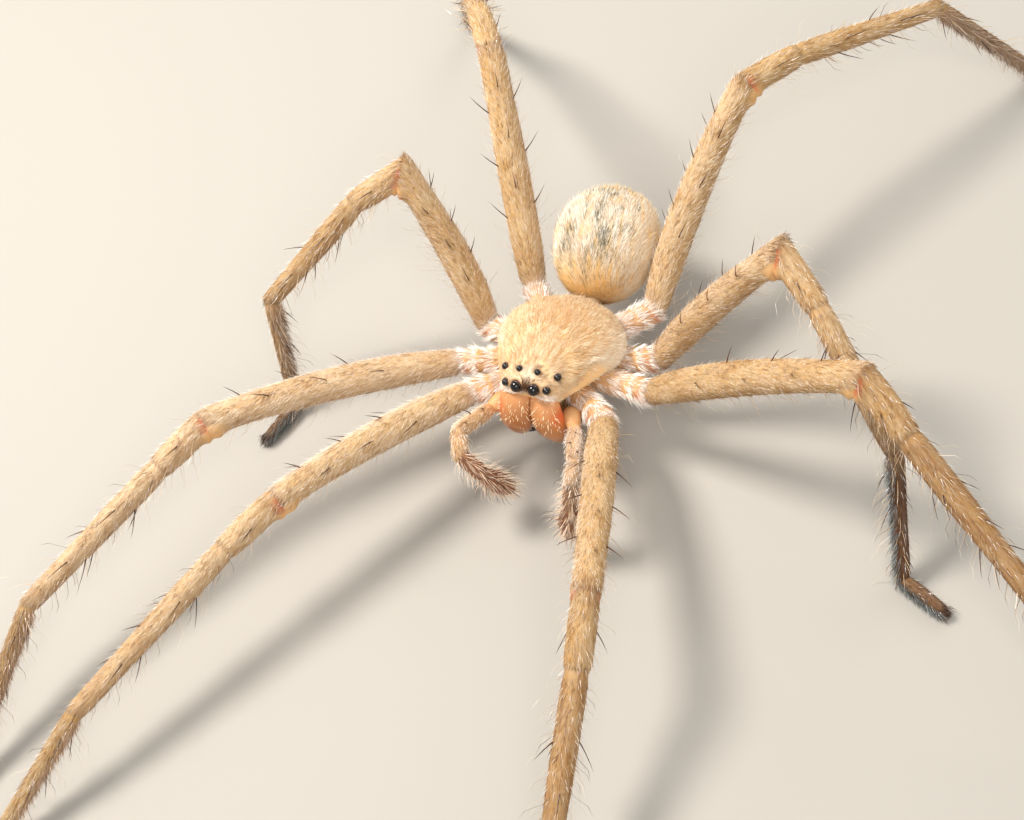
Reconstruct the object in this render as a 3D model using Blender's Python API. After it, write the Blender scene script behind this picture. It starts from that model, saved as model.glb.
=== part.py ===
# Huntsman spider, life size, standing on a flat floor with its legs spread.
# Sizes are in millimetres and angles in degrees. Each finished mesh is scaled to metres.
# The spider faces -Y, its left side is +X, and the floor is z = 0.

import math
import random

import bmesh
import bpy
from mathutils import Matrix, Vector
from mathutils.bvhtree import BVHTree

METRES = 0.001
GAP = 0.3            # between neighbouring pieces that touch in life
LIMB_SIDES = 10
SPINE_SIDES = 4
RANDOM = random.Random(5)

# The stance: the level of the leg roots, and the body's small lean
STAND_HEIGHT = 4.85
BODY_PITCH = 2.8     # head raised
BODY_ROLL = 1.2      # left side raised

# Carapace stations from the face to the rear edge: forward, half width, edge height, top height
CARAPACE = (
    (4.02, 1.45, 1.85, 2.85),
    (3.82, 1.86, 1.62, 3.02),
    (3.3, 2.2, 1.48, 3.2),
    (2.4, 2.7, 1.3, 3.34),
    (1.2, 3.36, 1.15, 3.44),
    (0.0, 3.83, 1.1, 3.42),
    (-1.2, 3.92, 1.1, 3.24),
    (-2.2, 3.47, 1.15, 2.88),
    (-3.05, 2.6, 1.28, 2.36),
    (-3.62, 1.4, 1.48, 1.92),
)
CARAPACE_SIDES = 20
CARAPACE_BELLY = 0.22        # how much flatter the underside is than the top

# The drum under the carapace that carries the legs, and the plate below it
DRUM_CENTRE = -0.1
DRUM_HALF_LENGTH = 2.15
DRUM_HALF_WIDTH = 2.0
DRUM_TOP = 1.6
DRUM_BOTTOM = -0.75
STERNUM_THICK = 0.6
STERNUM_HALF_LENGTH = 2.2
STERNUM_HALF_WIDTH = 1.9

# Eyes: forward, outward, up, radius
EYES = {
    "front_middle": (4.1, 0.55, 2.58, 0.36),
    "front_side": (3.85, 1.25, 2.45, 0.26),
    "rear_middle": (3.28, 0.58, 3.2, 0.23),
    "rear_side": (3.05, 1.7, 2.8, 0.27),
}
EYE_RISE = 0.3               # share of its radius that an eye's centre stands out
EYE_GAP = 0.13

# Abdomen: an egg behind the carapace
ABDOMEN_CENTRE = (-8.1, 0.0, 1.6)
ABDOMEN_HALF = (4.0, 3.35, 3.06)
ABDOMEN_YAW = 10.0           # its tip swings to the spider's right
ABDOMEN_TILT = -2.5
ABDOMEN_REAR_SWELL = 0.10    # widest behind the middle
PEDICEL_RADIUS = 0.5
SPINNERET_SLOPE = -38.0      # the way the spinnerets point, below the abdomen's long axis
SPINNERET_FLAT = 0.94        # where their flat cuts off the abdomen's end, as a share of its reach
SPINNERET_BASE = 0.95
SPINNERET_LENGTH = 1.15
SPINNERET_RADIUS = 0.3

# Jaws: centre line as forward, outward, up, then half width and half depth
CHELICERA = (
    (4.02, 1.05, 1.0, 0.8, 0.58),
    (4.2, 1.09, 0.6, 0.92, 0.68),
    (4.3, 1.13, -0.1, 0.97, 0.66),
    (4.28, 1.15, -0.7, 0.95, 0.64),
    (4.14, 1.2, -1.3, 0.84, 0.58),
    (4.02, 1.25, -1.75, 0.62, 0.46),
    (3.96, 1.28, -2.02, 0.36, 0.3),
)
FANG = ((3.9, 1.6, -2.42, 0.2), (3.86, 1.2, -2.58, 0.19), (3.78, 0.75, -2.62, 0.15), (3.66, 0.32, -2.52, 0.05))
MAXILLA = (
    (1.3, 0.85, -1.15, 0.5),
    (2.35, 1.42, -1.15, 0.6),
    (3.1, 1.95, -0.9, 0.46),
    (3.62, 2.28, -0.42, 0.34),
)

# Palps: lengths of femur, patella, tibia, tarsus; then each part's heading and slope
PALP_ROOT = (4.05, 2.62, -0.1)
PALP_LENGTHS = (3.1, 1.5, 1.75, 2.9)
PALP_POSE = {
    "R": ((17, 20), (-24, -16), (-80, -42), (-125, -62)),
    "L": ((24, 11), (17, 9), (-8, -68), (-40, -76)),
}
PALP_RADII = ((0.0, 0.4), (0.3, 0.5), (0.8, 0.52), (1.0, 0.48))
PALP_TARSUS_RADII = ((0.0, 0.45), (0.2, 0.62), (0.45, 0.72), (0.75, 0.56), (1.0, 0.24))

# Legs: where each femur starts (forward, outward, up) and where its coxa leaves the drum (degrees from ahead)
LEG_ROOTS = {1: (3.5, 4.28, 0.05), 2: (1.19, 5.98, 0.0), 3: (-1.55, 5.47, 0.0), 4: (-4.69, 3.91, 0.3)}
# How far single coxae are swung from there in this pose: forward and outward
ROOT_SHIFTS = {
    "R2": (0.36, 0.0),
    "L2": (-0.44, 0.09),
    "L3": (-0.08, 0.2),
    "R4": (-0.17, -0.17),
    "L4": (-0.22, 0.28),
}
COXA_BEARINGS = {1: 44, 2: 76, 3: 106, 4: 143}
COXA_START = 2.55            # from the drum's middle

# Lengths of femur, patella, tibia, metatarsus and tarsus
LEG_LENGTHS = {
    1: (13.4, 4.1, 12.3, 9.5, 2.6),
    2: (15.8, 3.7, 10.9, 11.7, 3.1),
    3: (11.0, 3.6, 9.0, 7.4, 3.0),
    4: (14.6, 4.0, 10.7, 10.3, 2.6),
}

# The pose: heading (from ahead towards the leg's own side) and slope of femur, patella and tibia,
# then the headings of metatarsus and tarsus, whose slopes follow from the floor
LEG_POSE = {
    "R1": ((33, 8), (25, -6), (23, -10), 19, 19),
    "R2": ((49, 12), (25, -9), (24, -10), 6, 6),
    "R3": ((123, 57), (57, -24), (49, -37), -21, 15),
    "R4": ((153, 44), (144, -4), (144, -33), 141, 141),
    "L1": ((20, 15), (10, -23), (9, -20), 11, 12),
    "L2": ((85, 31), (58, -29), (59, -28), 58, 58),
    "L3": ((118, 44), (53, -26), (48, -31), 20, 65),
    "L4": ((172, 26), (147, -5), (142, -14), 121, 121),
}
TARSUS_ROOT_HEIGHT = 0.52
TARSUS_TIP_HEIGHT = 0.33

# Limb sections: place along the part, half width, half height
COXA_SECTIONS = (
    (0.0, 0.46, 0.62), (0.28, 0.72, 0.82), (0.55, 0.84, 0.84), (0.7, 0.72, 0.74), (0.78, 0.72, 0.74),
    (0.9, 0.78, 0.78), (1.0, 0.68, 0.68),
)
FEMUR_SECTIONS = (
    (0.0, 0.68, 0.68), (0.06, 0.84, 0.84), (0.2, 0.98, 1.0), (0.4, 1.02, 1.04), (0.62, 0.98, 1.0),
    (0.82, 0.9, 0.92), (0.94, 0.88, 0.9), (1.0, 0.74, 0.76),
)
PATELLA_SECTIONS = ((0.0, 0.74, 0.76), (0.2, 0.84, 0.86), (0.55, 0.85, 0.87), (0.85, 0.8, 0.8), (1.0, 0.66, 0.66))
TIBIA_SECTIONS = (
    (0.0, 0.66, 0.66), (0.1, 0.76, 0.76), (0.35, 0.76, 0.76), (0.7, 0.67, 0.67), (0.92, 0.62, 0.62), (1.0, 0.52, 0.52),
)
METATARSUS_SECTIONS = ((0.0, 0.52, 0.52), (0.1, 0.56, 0.56), (0.5, 0.5, 0.5), (0.85, 0.47, 0.47))
TARSUS_SECTIONS = ((0.0, 0.46, 0.46), (0.3, 0.52, 0.48), (0.7, 0.5, 0.46), (0.92, 0.44, 0.42), (1.0, 0.26, 0.26))
LEG_THICKNESS = {1: 1.0, 2: 1.03, 3: 0.98, 4: 1.0}
FEMUR_BOW = 0.03             # rise of the femur's back, as a share of its length

# Leg spines: angle round the limb from its back (towards the front side is positive), and places along it
SPINES = {
    "femur": ((0, (0.42, 0.63, 0.84)), (72, (0.34, 0.56, 0.78)), (-72, (0.3, 0.52, 0.74))),
    "patella": ((82, (0.45,)), (-82, (0.5,))),
    "tibia": ((0, (0.5,)), (80, (0.28, 0.66)), (-80, (0.3, 0.68)), (150, (0.2, 0.55)), (-150, (0.24, 0.6))),
    "foot": ((85, (0.12, 0.42)), (-85, (0.14, 0.45)), (150, (0.08, 0.36)), (-150, (0.09, 0.38))),
}
SPINE_LENGTHS = {"femur": 1.75, "patella": 1.1, "tibia": 1.6, "foot": 1.4}
SPINE_LEAN = {"femur": 42, "patella": 38, "tibia": 40, "foot": 38}
SPINE_RADII = ((0.0, 0.27), (0.55, 0.22), (1.0, 0.05))
SPINE_SINK = 0.42            # depth of a root below the limb's surface
SPINE_FLOOR = 0.45           # lowest tip

COLOURS = {
    "carapace": (0.80, 0.60, 0.36), "sternum": (0.72, 0.55, 0.36), "abdomen": (0.72, 0.68, 0.55),
    "spinnerets": (0.50, 0.40, 0.28), "chelicera": (0.72, 0.42, 0.24), "fang": (0.06, 0.03, 0.02),
    "eye": (0.01, 0.01, 0.01), "palp": (0.76, 0.58, 0.36), "coxa": (0.84, 0.76, 0.66),
    "femur": (0.76, 0.60, 0.38), "patella": (0.74, 0.58, 0.36), "tibia": (0.70, 0.54, 0.34),
    "foot": (0.42, 0.34, 0.26),
}


def clear_scene():
    for old in list(bpy.data.objects):
        bpy.data.objects.remove(old, do_unlink=True)


def material(kind):
    name = "spider_" + kind
    found = bpy.data.materials.get(name)
    if found:
        return found
    made = bpy.data.materials.new(name)
    made.use_nodes = True
    shader = made.node_tree.nodes["Principled BSDF"]
    shader.inputs["Base Color"].default_value = (*COLOURS[kind], 1.0)
    shader.inputs["Roughness"].default_value = 0.1 if kind == "eye" else 0.6
    shader.inputs["Metallic"].default_value = 0.0
    return made


def body_matrix():
    """From forward, left, up on the body to the world."""
    lay = Matrix(((0, 1, 0, 0), (-1, 0, 0, 0), (0, 0, 1, 0), (0, 0, 0, 1)))
    pitch = Matrix.Rotation(math.radians(-BODY_PITCH), 4, "Y")
    roll = Matrix.Rotation(math.radians(BODY_ROLL), 4, "X")
    return Matrix.Translation((0, 0, STAND_HEIGHT)) @ lay @ roll @ pitch


BODY = body_matrix()


def direction(heading, slope, side):
    """Unit vector in the world; a heading turns from ahead towards the given side."""
    turn = math.radians(heading)
    rise = math.radians(slope)
    flat = math.cos(rise)
    return Vector((side * math.sin(turn) * flat, -math.cos(turn) * flat, math.sin(rise)))


def ring_matrix(centre, across, upward, along):
    """Carries the unit circle in XY onto a ring."""
    placed = Matrix((across, upward, along)).transposed().to_4x4()
    placed.translation = centre
    return placed


def slant(axis, sideways, plane):
    """How far a ring leans along the axis, for each step sideways, to lie in a plane."""
    return -sideways.dot(plane) / axis.dot(plane)


def limb_rings(start, end, start_plane, end_plane, back, sections, scale=1.0, bow=0.0, gaps=(True, True)):
    """Rings for one part of a limb, mitred at both ends, with half the gap kept at each joint."""
    axis = (end - start).normalized()
    side = back.cross(axis)
    first = start + axis * (GAP / 2 / axis.dot(start_plane) if gaps[0] else 0.0)
    last = end - axis * (GAP / 2 / axis.dot(end_plane) if gaps[1] else 0.0)
    rings = []
    for place, half_width, half_height in sections:
        across_lean = (1 - place) * slant(axis, side, start_plane) + place * slant(axis, side, end_plane)
        back_lean = (1 - place) * slant(axis, back, start_plane) + place * slant(axis, back, end_plane)
        centre = first.lerp(last, place) + back * (bow * 4 * place * (1 - place))
        rings.append(ring_matrix(
            centre,
            (side + axis * across_lean) * half_width * scale,
            (back + axis * back_lean) * half_height * scale,
            axis,
        ))
    return rings


def loft(rings, sides):
    """One closed skin through the rings: a circle, extruded from ring to ring."""
    mesh = bmesh.new()
    circle = bmesh.ops.create_circle(mesh, cap_ends=True, radius=1.0, segments=sides)
    bmesh.ops.transform(mesh, matrix=rings[0], verts=circle["verts"])
    edges = list(mesh.edges)
    for before, after in zip(rings, rings[1:]):
        grown = bmesh.ops.extrude_edge_only(mesh, edges=edges)["geom"]
        verts = [part for part in grown if isinstance(part, bmesh.types.BMVert)]
        edges = [part for part in grown if isinstance(part, bmesh.types.BMEdge)]
        bmesh.ops.transform(mesh, matrix=after @ before.inverted(), verts=verts)
    bmesh.ops.contextual_create(mesh, geom=edges)
    bmesh.ops.recalc_face_normals(mesh, faces=mesh.faces)
    return mesh


def straight_loft(points, radii, sides, depth_scale=1.0):
    """A loft through points, each ring square to the way the points run."""
    rings = []
    for index, point in enumerate(points):
        before = points[max(index - 1, 0)]
        after = points[min(index + 1, len(points) - 1)]
        axis = (after - before).normalized()
        reference = Vector((1, 0, 0)) if abs(axis.x) < 0.8 else Vector((0, 0, 1))
        up = axis.cross(reference).normalized()
        side = up.cross(axis)
        rings.append(ring_matrix(point, side * radii[index], up * radii[index] * depth_scale, axis))
    return loft(rings, sides)


def add_object(name, mesh, kind):
    """Links a mesh, still in millimetres, as one named object."""
    data = bpy.data.meshes.new(name)
    mesh.to_mesh(data)
    mesh.free()
    data.materials.append(material(kind))
    made = bpy.data.objects.new(name, data)
    bpy.context.scene.collection.objects.link(made)
    return made


def apply_modifiers(target):
    graph = bpy.context.evaluated_depsgraph_get()
    data = bpy.data.meshes.new_from_object(target.evaluated_get(graph))
    target.modifiers.clear()
    old = target.data
    data.name = target.name
    target.data = data
    bpy.data.meshes.remove(old)


def keep_largest_body(target):
    """Drops the skins of sealed hollows and loose scraps."""
    mesh = bmesh.new()
    mesh.from_mesh(target.data)
    left = set(mesh.faces)
    bodies = []
    while left:
        stack = [left.pop()]
        found = list(stack)
        while stack:
            for edge in stack.pop().edges:
                for face in edge.link_faces:
                    if face in left:
                        left.remove(face)
                        stack.append(face)
                        found.append(face)
        bodies.append(found)
    bodies.sort(key=len)
    for scrap in bodies[:-1]:
        bmesh.ops.delete(mesh, geom=scrap, context="FACES")
    mesh.to_mesh(target.data)
    mesh.free()


def fuse(target, pieces, operation="UNION"):
    """One Boolean with a collection of closed pieces, which are then removed."""
    group = bpy.data.collections.new(target.name + "_pieces")
    bpy.context.scene.collection.children.link(group)
    for index, piece in enumerate(pieces):
        made = add_object(f"{target.name}_piece_{index}", piece, "fang")
        bpy.context.scene.collection.objects.unlink(made)
        group.objects.link(made)
        made.hide_render = True
        made.display_type = "WIRE"
    joint = target.modifiers.new("fuse", "BOOLEAN")
    joint.operation = operation
    joint.solver = "EXACT"
    joint.operand_type = "COLLECTION"
    joint.collection = group
    apply_modifiers(target)
    for made in list(group.objects):
        bpy.data.objects.remove(made, do_unlink=True)
    bpy.data.collections.remove(group)
    target.data.materials.clear()
    target.data.materials.append(material(target["kind"]))
    for face in target.data.polygons:
        face.material_index = 0
    keep_largest_body(target)


def node(name, mesh, kind, pieces=()):
    made = add_object(name, mesh, kind)
    made["kind"] = kind
    if pieces:
        fuse(made, pieces)
    return made


def to_world(points):
    return [BODY @ Vector(point[:3]) for point in points]


def mirrored(point, side):
    return (point[0], side * point[1], *point[2:])


def drum(half_length, half_width, bottom, top, shoulder):
    """An upright oval drum with a rounded top and bottom edge, on the body's axes."""
    stations = ((bottom, 0.82), (bottom + shoulder, 1.0), (top - shoulder, 1.0), (top, 0.82))
    rings = []
    for level, size in stations:
        rings.append(BODY @ ring_matrix(
            Vector((DRUM_CENTRE, 0, level)),
            Vector((half_length * size, 0, 0)), Vector((0, half_width * size, 0)), Vector((0, 0, 1)),
        ))
    return loft(rings, 16)


def build_carapace():
    """The domed shield with its head in front, on the drum that carries the legs."""
    rings = []
    for forward, half_width, edge, top in CARAPACE:
        rings.append(ring_matrix(
            Vector((forward, 0, edge)), Vector((0, half_width, 0)), Vector((0, 0, top - edge)), Vector((-1, 0, 0))))
    mesh = loft(rings, CARAPACE_SIDES)
    levels = {round(forward, 3): edge for forward, _, edge, _ in CARAPACE}
    for vert in mesh.verts:
        edge = levels[min(levels, key=lambda forward: abs(forward - vert.co.x))]
        if vert.co.z < edge:
            vert.co.z = edge + (vert.co.z - edge) * CARAPACE_BELLY
    bmesh.ops.transform(mesh, matrix=BODY, verts=mesh.verts)
    below = drum(DRUM_HALF_LENGTH, DRUM_HALF_WIDTH, DRUM_BOTTOM, DRUM_TOP, 0.3)
    shield = node("carapace", mesh, "carapace", [below])
    sockets = build_eyes(shield)
    fuse(shield, sockets, "DIFFERENCE")


def build_eyes(shield):
    """Eight domed eyes, each in a shallow socket; returns the cutters of the sockets."""
    surface = bmesh.new()
    surface.from_mesh(shield.data)
    tree = BVHTree.FromBMesh(surface)
    sockets = []
    for name, (forward, outward, up, radius) in EYES.items():
        for label, side in (("L", 1), ("R", -1)):
            found, normal, _, _ = tree.find_nearest(BODY @ Vector((forward, side * outward, up)))
            centre = found + normal * radius * EYE_RISE
            spots = ((f"eye_{name}_{label}", radius, 10, 7), (None, radius + EYE_GAP, 10, 6))
            for title, size, rounds, rows in spots:
                ball = bmesh.new()
                bmesh.ops.create_uvsphere(ball, u_segments=rounds, v_segments=rows, radius=size)
                turn = normal.to_track_quat("Z", "Y").to_matrix().to_4x4()
                bmesh.ops.transform(ball, matrix=Matrix.Translation(centre) @ turn, verts=ball.verts)
                if title:
                    node(title, ball, "eye")
                else:
                    sockets.append(ball)
    surface.free()
    return sockets


def build_underside():
    """The sternum plate, with the two lobes beside the mouth that carry the palps."""
    top = DRUM_BOTTOM - GAP
    mesh = drum(STERNUM_HALF_LENGTH, STERNUM_HALF_WIDTH, top - STERNUM_THICK, top, 0.18)
    lobes = []
    for side in (1, -1):
        line = [mirrored(point, side) for point in MAXILLA]
        lobes.append(straight_loft(to_world(line), [point[3] for point in line], 8))
    node("sternum", mesh, "sternum", lobes)


def build_jaws():
    """The two heavy chelicerae and, folded in below them, their fangs."""
    for label, side in (("L", 1), ("R", -1)):
        rings = []
        for forward, outward, up, half_width, half_depth in CHELICERA:
            rings.append(BODY @ ring_matrix(
                Vector((forward, side * outward, up)),
                Vector((half_depth, 0, 0)), Vector((0, half_width, 0)), Vector((0, 0, -1))))
        node("chelicera_" + label, loft(rings, 12), "chelicera")
        line = [mirrored(point, side) for point in FANG]
        node("fang_" + label, straight_loft(to_world(line), [point[3] for point in line], 8), "fang")


def abdomen_matrix():
    turn = Matrix.Rotation(math.radians(ABDOMEN_YAW), 4, "Z")
    tilt = Matrix.Rotation(math.radians(-ABDOMEN_TILT), 4, "Y")
    return BODY @ Matrix.Translation(ABDOMEN_CENTRE) @ turn @ tilt


def build_abdomen():
    """The egg-shaped abdomen on its thin waist, and the spinnerets on a small flat at its tip."""
    half_length, half_width, half_height = ABDOMEN_HALF
    place = abdomen_matrix()
    mesh = bmesh.new()
    turned = Matrix.Rotation(math.radians(90), 4, "Y")
    bmesh.ops.create_uvsphere(mesh, u_segments=20, v_segments=16, radius=1.0, matrix=turned)
    for vert in mesh.verts:
        swell = 1.0 - ABDOMEN_REAR_SWELL * vert.co.x * (1 - vert.co.x ** 2)
        vert.co = Vector((vert.co.x * half_length, vert.co.y * half_width * swell, vert.co.z * half_height * swell))
    slope = math.radians(SPINNERET_SLOPE)
    way = Vector((-math.cos(slope), 0, math.sin(slope)))
    reach = math.hypot(half_length * way.x, half_height * way.z)
    tip = Vector((half_length ** 2 * way.x, 0, half_height ** 2 * way.z)) / reach * SPINNERET_FLAT
    sliced = bmesh.ops.bisect_plane(
        mesh, geom=mesh.verts[:] + mesh.edges[:] + mesh.faces[:],
        plane_co=tip, plane_no=way, clear_outer=True)
    rim = [part for part in sliced["geom_cut"] if isinstance(part, bmesh.types.BMEdge)]
    bmesh.ops.contextual_create(mesh, geom=rim)
    bmesh.ops.recalc_face_normals(mesh, faces=mesh.faces)
    bmesh.ops.transform(mesh, matrix=place, verts=mesh.verts)
    waist_front = BODY @ Vector((DRUM_CENTRE - DRUM_HALF_LENGTH - GAP, 0, 0.45))
    waist_back = place @ Vector((half_length * 0.8, 0, -0.6))
    middle = waist_front.lerp(waist_back, 0.5)
    waist = straight_loft([waist_front, middle, waist_back], [PEDICEL_RADIUS] * 3, 8)
    node("abdomen", mesh, "abdomen", [waist])
    build_spinnerets(place @ ring_matrix(tip, Vector((0, 1, 0)), way.cross(Vector((0, 1, 0))), way))


def build_spinnerets(place):
    """A low base with two long spinnerets above and two short ones below; Z points away from the abdomen."""
    base = [place @ Vector((0, 0, GAP)), place @ Vector((0, 0, GAP + 0.35)), place @ Vector((0, 0, GAP + 0.5))]
    plate = straight_loft(base, [SPINNERET_BASE, SPINNERET_BASE * 0.96, SPINNERET_BASE * 0.7], 12)
    tubes = []
    for outward, up, share in ((0.42, 0.22, 1.0), (-0.42, 0.22, 1.0), (0.36, -0.4, 0.75), (-0.36, -0.4, 0.75)):
        root = GAP + 0.15
        length = SPINNERET_LENGTH * share
        line = [place @ Vector((outward, up, root)), place @ Vector((outward * 1.2, up * 1.1, root + length * 0.6)),
                place @ Vector((outward * 1.35, up * 1.15, root + length))]
        tubes.append(straight_loft(line, [SPINNERET_RADIUS, SPINNERET_RADIUS * 0.9, SPINNERET_RADIUS * 0.45], 6))
    node("spinnerets", plate, "spinnerets", tubes)


def bisector(before, after):
    return (before + after).normalized()


def build_palps():
    """Each palp: an arm of femur, patella and tibia, then the swollen tarsus."""
    for label, side in (("L", 1), ("R", -1)):
        points = [BODY @ Vector(mirrored(PALP_ROOT, side))]
        ways = [direction(heading, slope, side) for heading, slope in PALP_POSE[label]]
        for way, length in zip(ways, PALP_LENGTHS):
            points.append(points[-1] + way * length)
        planes = [ways[0]] + [bisector(a, b) for a, b in zip(ways, ways[1:])] + [ways[-1]]
        back = Vector((0, 0, 1))
        back = (back - ways[0] * back.dot(ways[0])).normalized()
        rings = []
        sections = [(place, radius, radius) for place, radius in PALP_RADII]
        for index in range(3):
            if index:
                back = ways[index - 1].rotation_difference(ways[index]) @ back
            used = sections if index == 2 else sections[:-1]
            rings += limb_rings(
                points[index], points[index + 1], planes[index], planes[index + 1], back, used,
                gaps=(index == 0, index == 2))
        node("palp_" + label, loft(rings, LIMB_SIDES), "palp")
        back = ways[2].rotation_difference(ways[3]) @ back
        sections = [(place, radius, radius) for place, radius in PALP_TARSUS_RADII]
        rings = limb_rings(points[3], points[4], planes[3], planes[4], back, sections, gaps=(True, False))
        node("palp_tarsus_" + label, loft(rings, LIMB_SIDES), "palp")


def leg_points(name):
    """The leg's joints from the drum to the claws; the last two parts come down to the floor."""
    number = int(name[1])
    side = 1 if name[0] == "L" else -1
    bearing = math.radians(COXA_BEARINGS[number])
    start = (DRUM_CENTRE + COXA_START * math.cos(bearing), side * COXA_START * math.sin(bearing), 0.05)
    forward, outward, up = LEG_ROOTS[number]
    ahead, aside = ROOT_SHIFTS.get(name, (0.0, 0.0))
    root = (forward + ahead, side * (outward + aside), up)
    points = [BODY @ Vector(start), BODY @ Vector(root)]
    pose = LEG_POSE[name]
    lengths = LEG_LENGTHS[number]
    for (heading, slope), length in zip(pose[:3], lengths[:3]):
        points.append(points[-1] + direction(heading, slope, side) * length)
    for heading, length, height in zip(pose[3:], lengths[3:], (TARSUS_ROOT_HEIGHT, TARSUS_TIP_HEIGHT)):
        slope = math.degrees(math.asin((height - points[-1].z) / length))
        points.append(points[-1] + direction(heading, slope, side) * length)
    return points


def radius_at(sections, place):
    """Half width and half height of a limb at a place along it."""
    for low, high in zip(sections, sections[1:]):
        if place <= high[0]:
            share = (place - low[0]) / (high[0] - low[0])
            return low[1] + (high[1] - low[1]) * share, low[2] + (high[2] - low[2]) * share
    return sections[-1][1:]


def spine(root, way, length):
    points = [root + way * length * place for place, _ in SPINE_RADII]
    return straight_loft(points, [radius for _, radius in SPINE_RADII], SPINE_SIDES)


def limb_spines(part, start, end, back, sections, scale, bow, front_side):
    """Spines in rows along one part, leaning towards its far end."""
    axis = (end - start).normalized()
    side = back.cross(axis) * front_side
    spines = []
    for angle, places in SPINES[part]:
        turn = math.radians(angle)
        for place in places:
            jitter = RANDOM.uniform(-1, 1)
            out = back * math.cos(turn + 0.12 * jitter) + side * math.sin(turn + 0.12 * jitter)
            half_width, half_height = radius_at(sections, place)
            reach = scale / math.hypot(math.sin(turn) / half_width, math.cos(turn) / half_height)
            lean = math.radians(SPINE_LEAN[part] + 5 * jitter)
            way = axis * math.cos(lean) + out * math.sin(lean)
            centre = start.lerp(end, place) + back * (bow * 4 * place * (1 - place))
            root = centre + out * (reach - SPINE_SINK)
            length = SPINE_LENGTHS[part] * (1 + 0.1 * jitter) + SPINE_SINK / math.sin(lean)
            if way.z < 0:
                length = min(length, (root.z - SPINE_FLOOR) / -way.z)
            if length > 1.6:
                spines.append(spine(root, way, length))
    return spines


def cut_at_floor(mesh):
    """Takes off what is below the floor and closes the sole with one flat."""
    sliced = bmesh.ops.bisect_plane(
        mesh, geom=mesh.verts[:] + mesh.edges[:] + mesh.faces[:],
        plane_co=(0, 0, 0), plane_no=(0, 0, -1), clear_outer=True)
    rim = [part for part in sliced["geom_cut"] if isinstance(part, bmesh.types.BMEdge)]
    bmesh.ops.contextual_create(mesh, geom=rim)
    bmesh.ops.recalc_face_normals(mesh, faces=mesh.faces)


def build_leg(name):
    """Coxa with trochanter, femur, patella, tibia, and the foot of metatarsus and tarsus."""
    number = int(name[1])
    scale = LEG_THICKNESS[number]
    points = leg_points(name)
    ways = [(b - a).normalized() for a, b in zip(points, points[1:])]
    planes = [ways[0]] + [bisector(a, b) for a, b in zip(ways, ways[1:])] + [ways[-1]]
    front_side = 1 if name[0] == "L" else -1
    bend = ways[1] - ways[3]
    back = (bend - ways[1] * bend.dot(ways[1])).normalized()
    upright = Vector((0, 0, 1))
    coxa_back = (upright - ways[0] * upright.dot(ways[0])).normalized()
    rings = limb_rings(points[0], points[1], planes[0], planes[1], coxa_back, COXA_SECTIONS, gaps=(False, True))
    node("coxa_" + name, loft(rings, LIMB_SIDES), "coxa")
    parts = (("femur", FEMUR_SECTIONS, FEMUR_BOW), ("patella", PATELLA_SECTIONS, 0.0), ("tibia", TIBIA_SECTIONS, 0.0))
    for index, (part, sections, bow) in enumerate(parts, start=1):
        if index > 1:
            back = ways[index - 1].rotation_difference(ways[index]) @ back
        start, end = points[index], points[index + 1]
        rise = bow * (end - start).length
        rings = limb_rings(start, end, planes[index], planes[index + 1], back, sections, scale, rise)
        spines = limb_spines(part, start, end, back, sections, scale, rise, front_side)
        node(f"{part}_{name}", loft(rings, LIMB_SIDES), part, spines)
    back = ways[3].rotation_difference(ways[4]) @ back
    rings = limb_rings(
        points[4], points[5], planes[4], planes[5], back, METATARSUS_SECTIONS, scale, gaps=(True, False))
    spines = limb_spines("foot", points[4], points[5], back, METATARSUS_SECTIONS, scale, 0.0, front_side)
    back = ways[4].rotation_difference(ways[5]) @ back
    rings += limb_rings(
        points[5], points[6], planes[5], planes[6], back, TARSUS_SECTIONS, scale, gaps=(False, False))
    foot = loft(rings, LIMB_SIDES)
    cut_at_floor(foot)
    node("foot_" + name, foot, "foot", spines)


def finish():
    """Centres the spider over the origin, turns millimetres to metres and shades it smooth."""
    corners = [vert.co for made in bpy.data.objects for vert in made.data.vertices]
    middle_x = (min(co.x for co in corners) + max(co.x for co in corners)) / 2
    middle_y = (min(co.y for co in corners) + max(co.y for co in corners)) / 2
    place = Matrix.Scale(METRES, 4) @ Matrix.Translation((-middle_x, -middle_y, 0))
    for made in bpy.data.objects:
        made.data.transform(place)
        made.data.shade_smooth()
        made.data.set_sharp_from_angle(angle=math.radians(50))
    print("moved by", round(-middle_x, 3), round(-middle_y, 3))


def main():
    clear_scene()
    build_carapace()
    build_underside()
    build_jaws()
    build_abdomen()
    build_palps()
    for name in LEG_POSE:
        build_leg(name)
    finish()


main()
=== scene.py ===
import math

import bmesh
import bpy
import numpy as np
from mathutils import Matrix, Vector, noise


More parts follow.
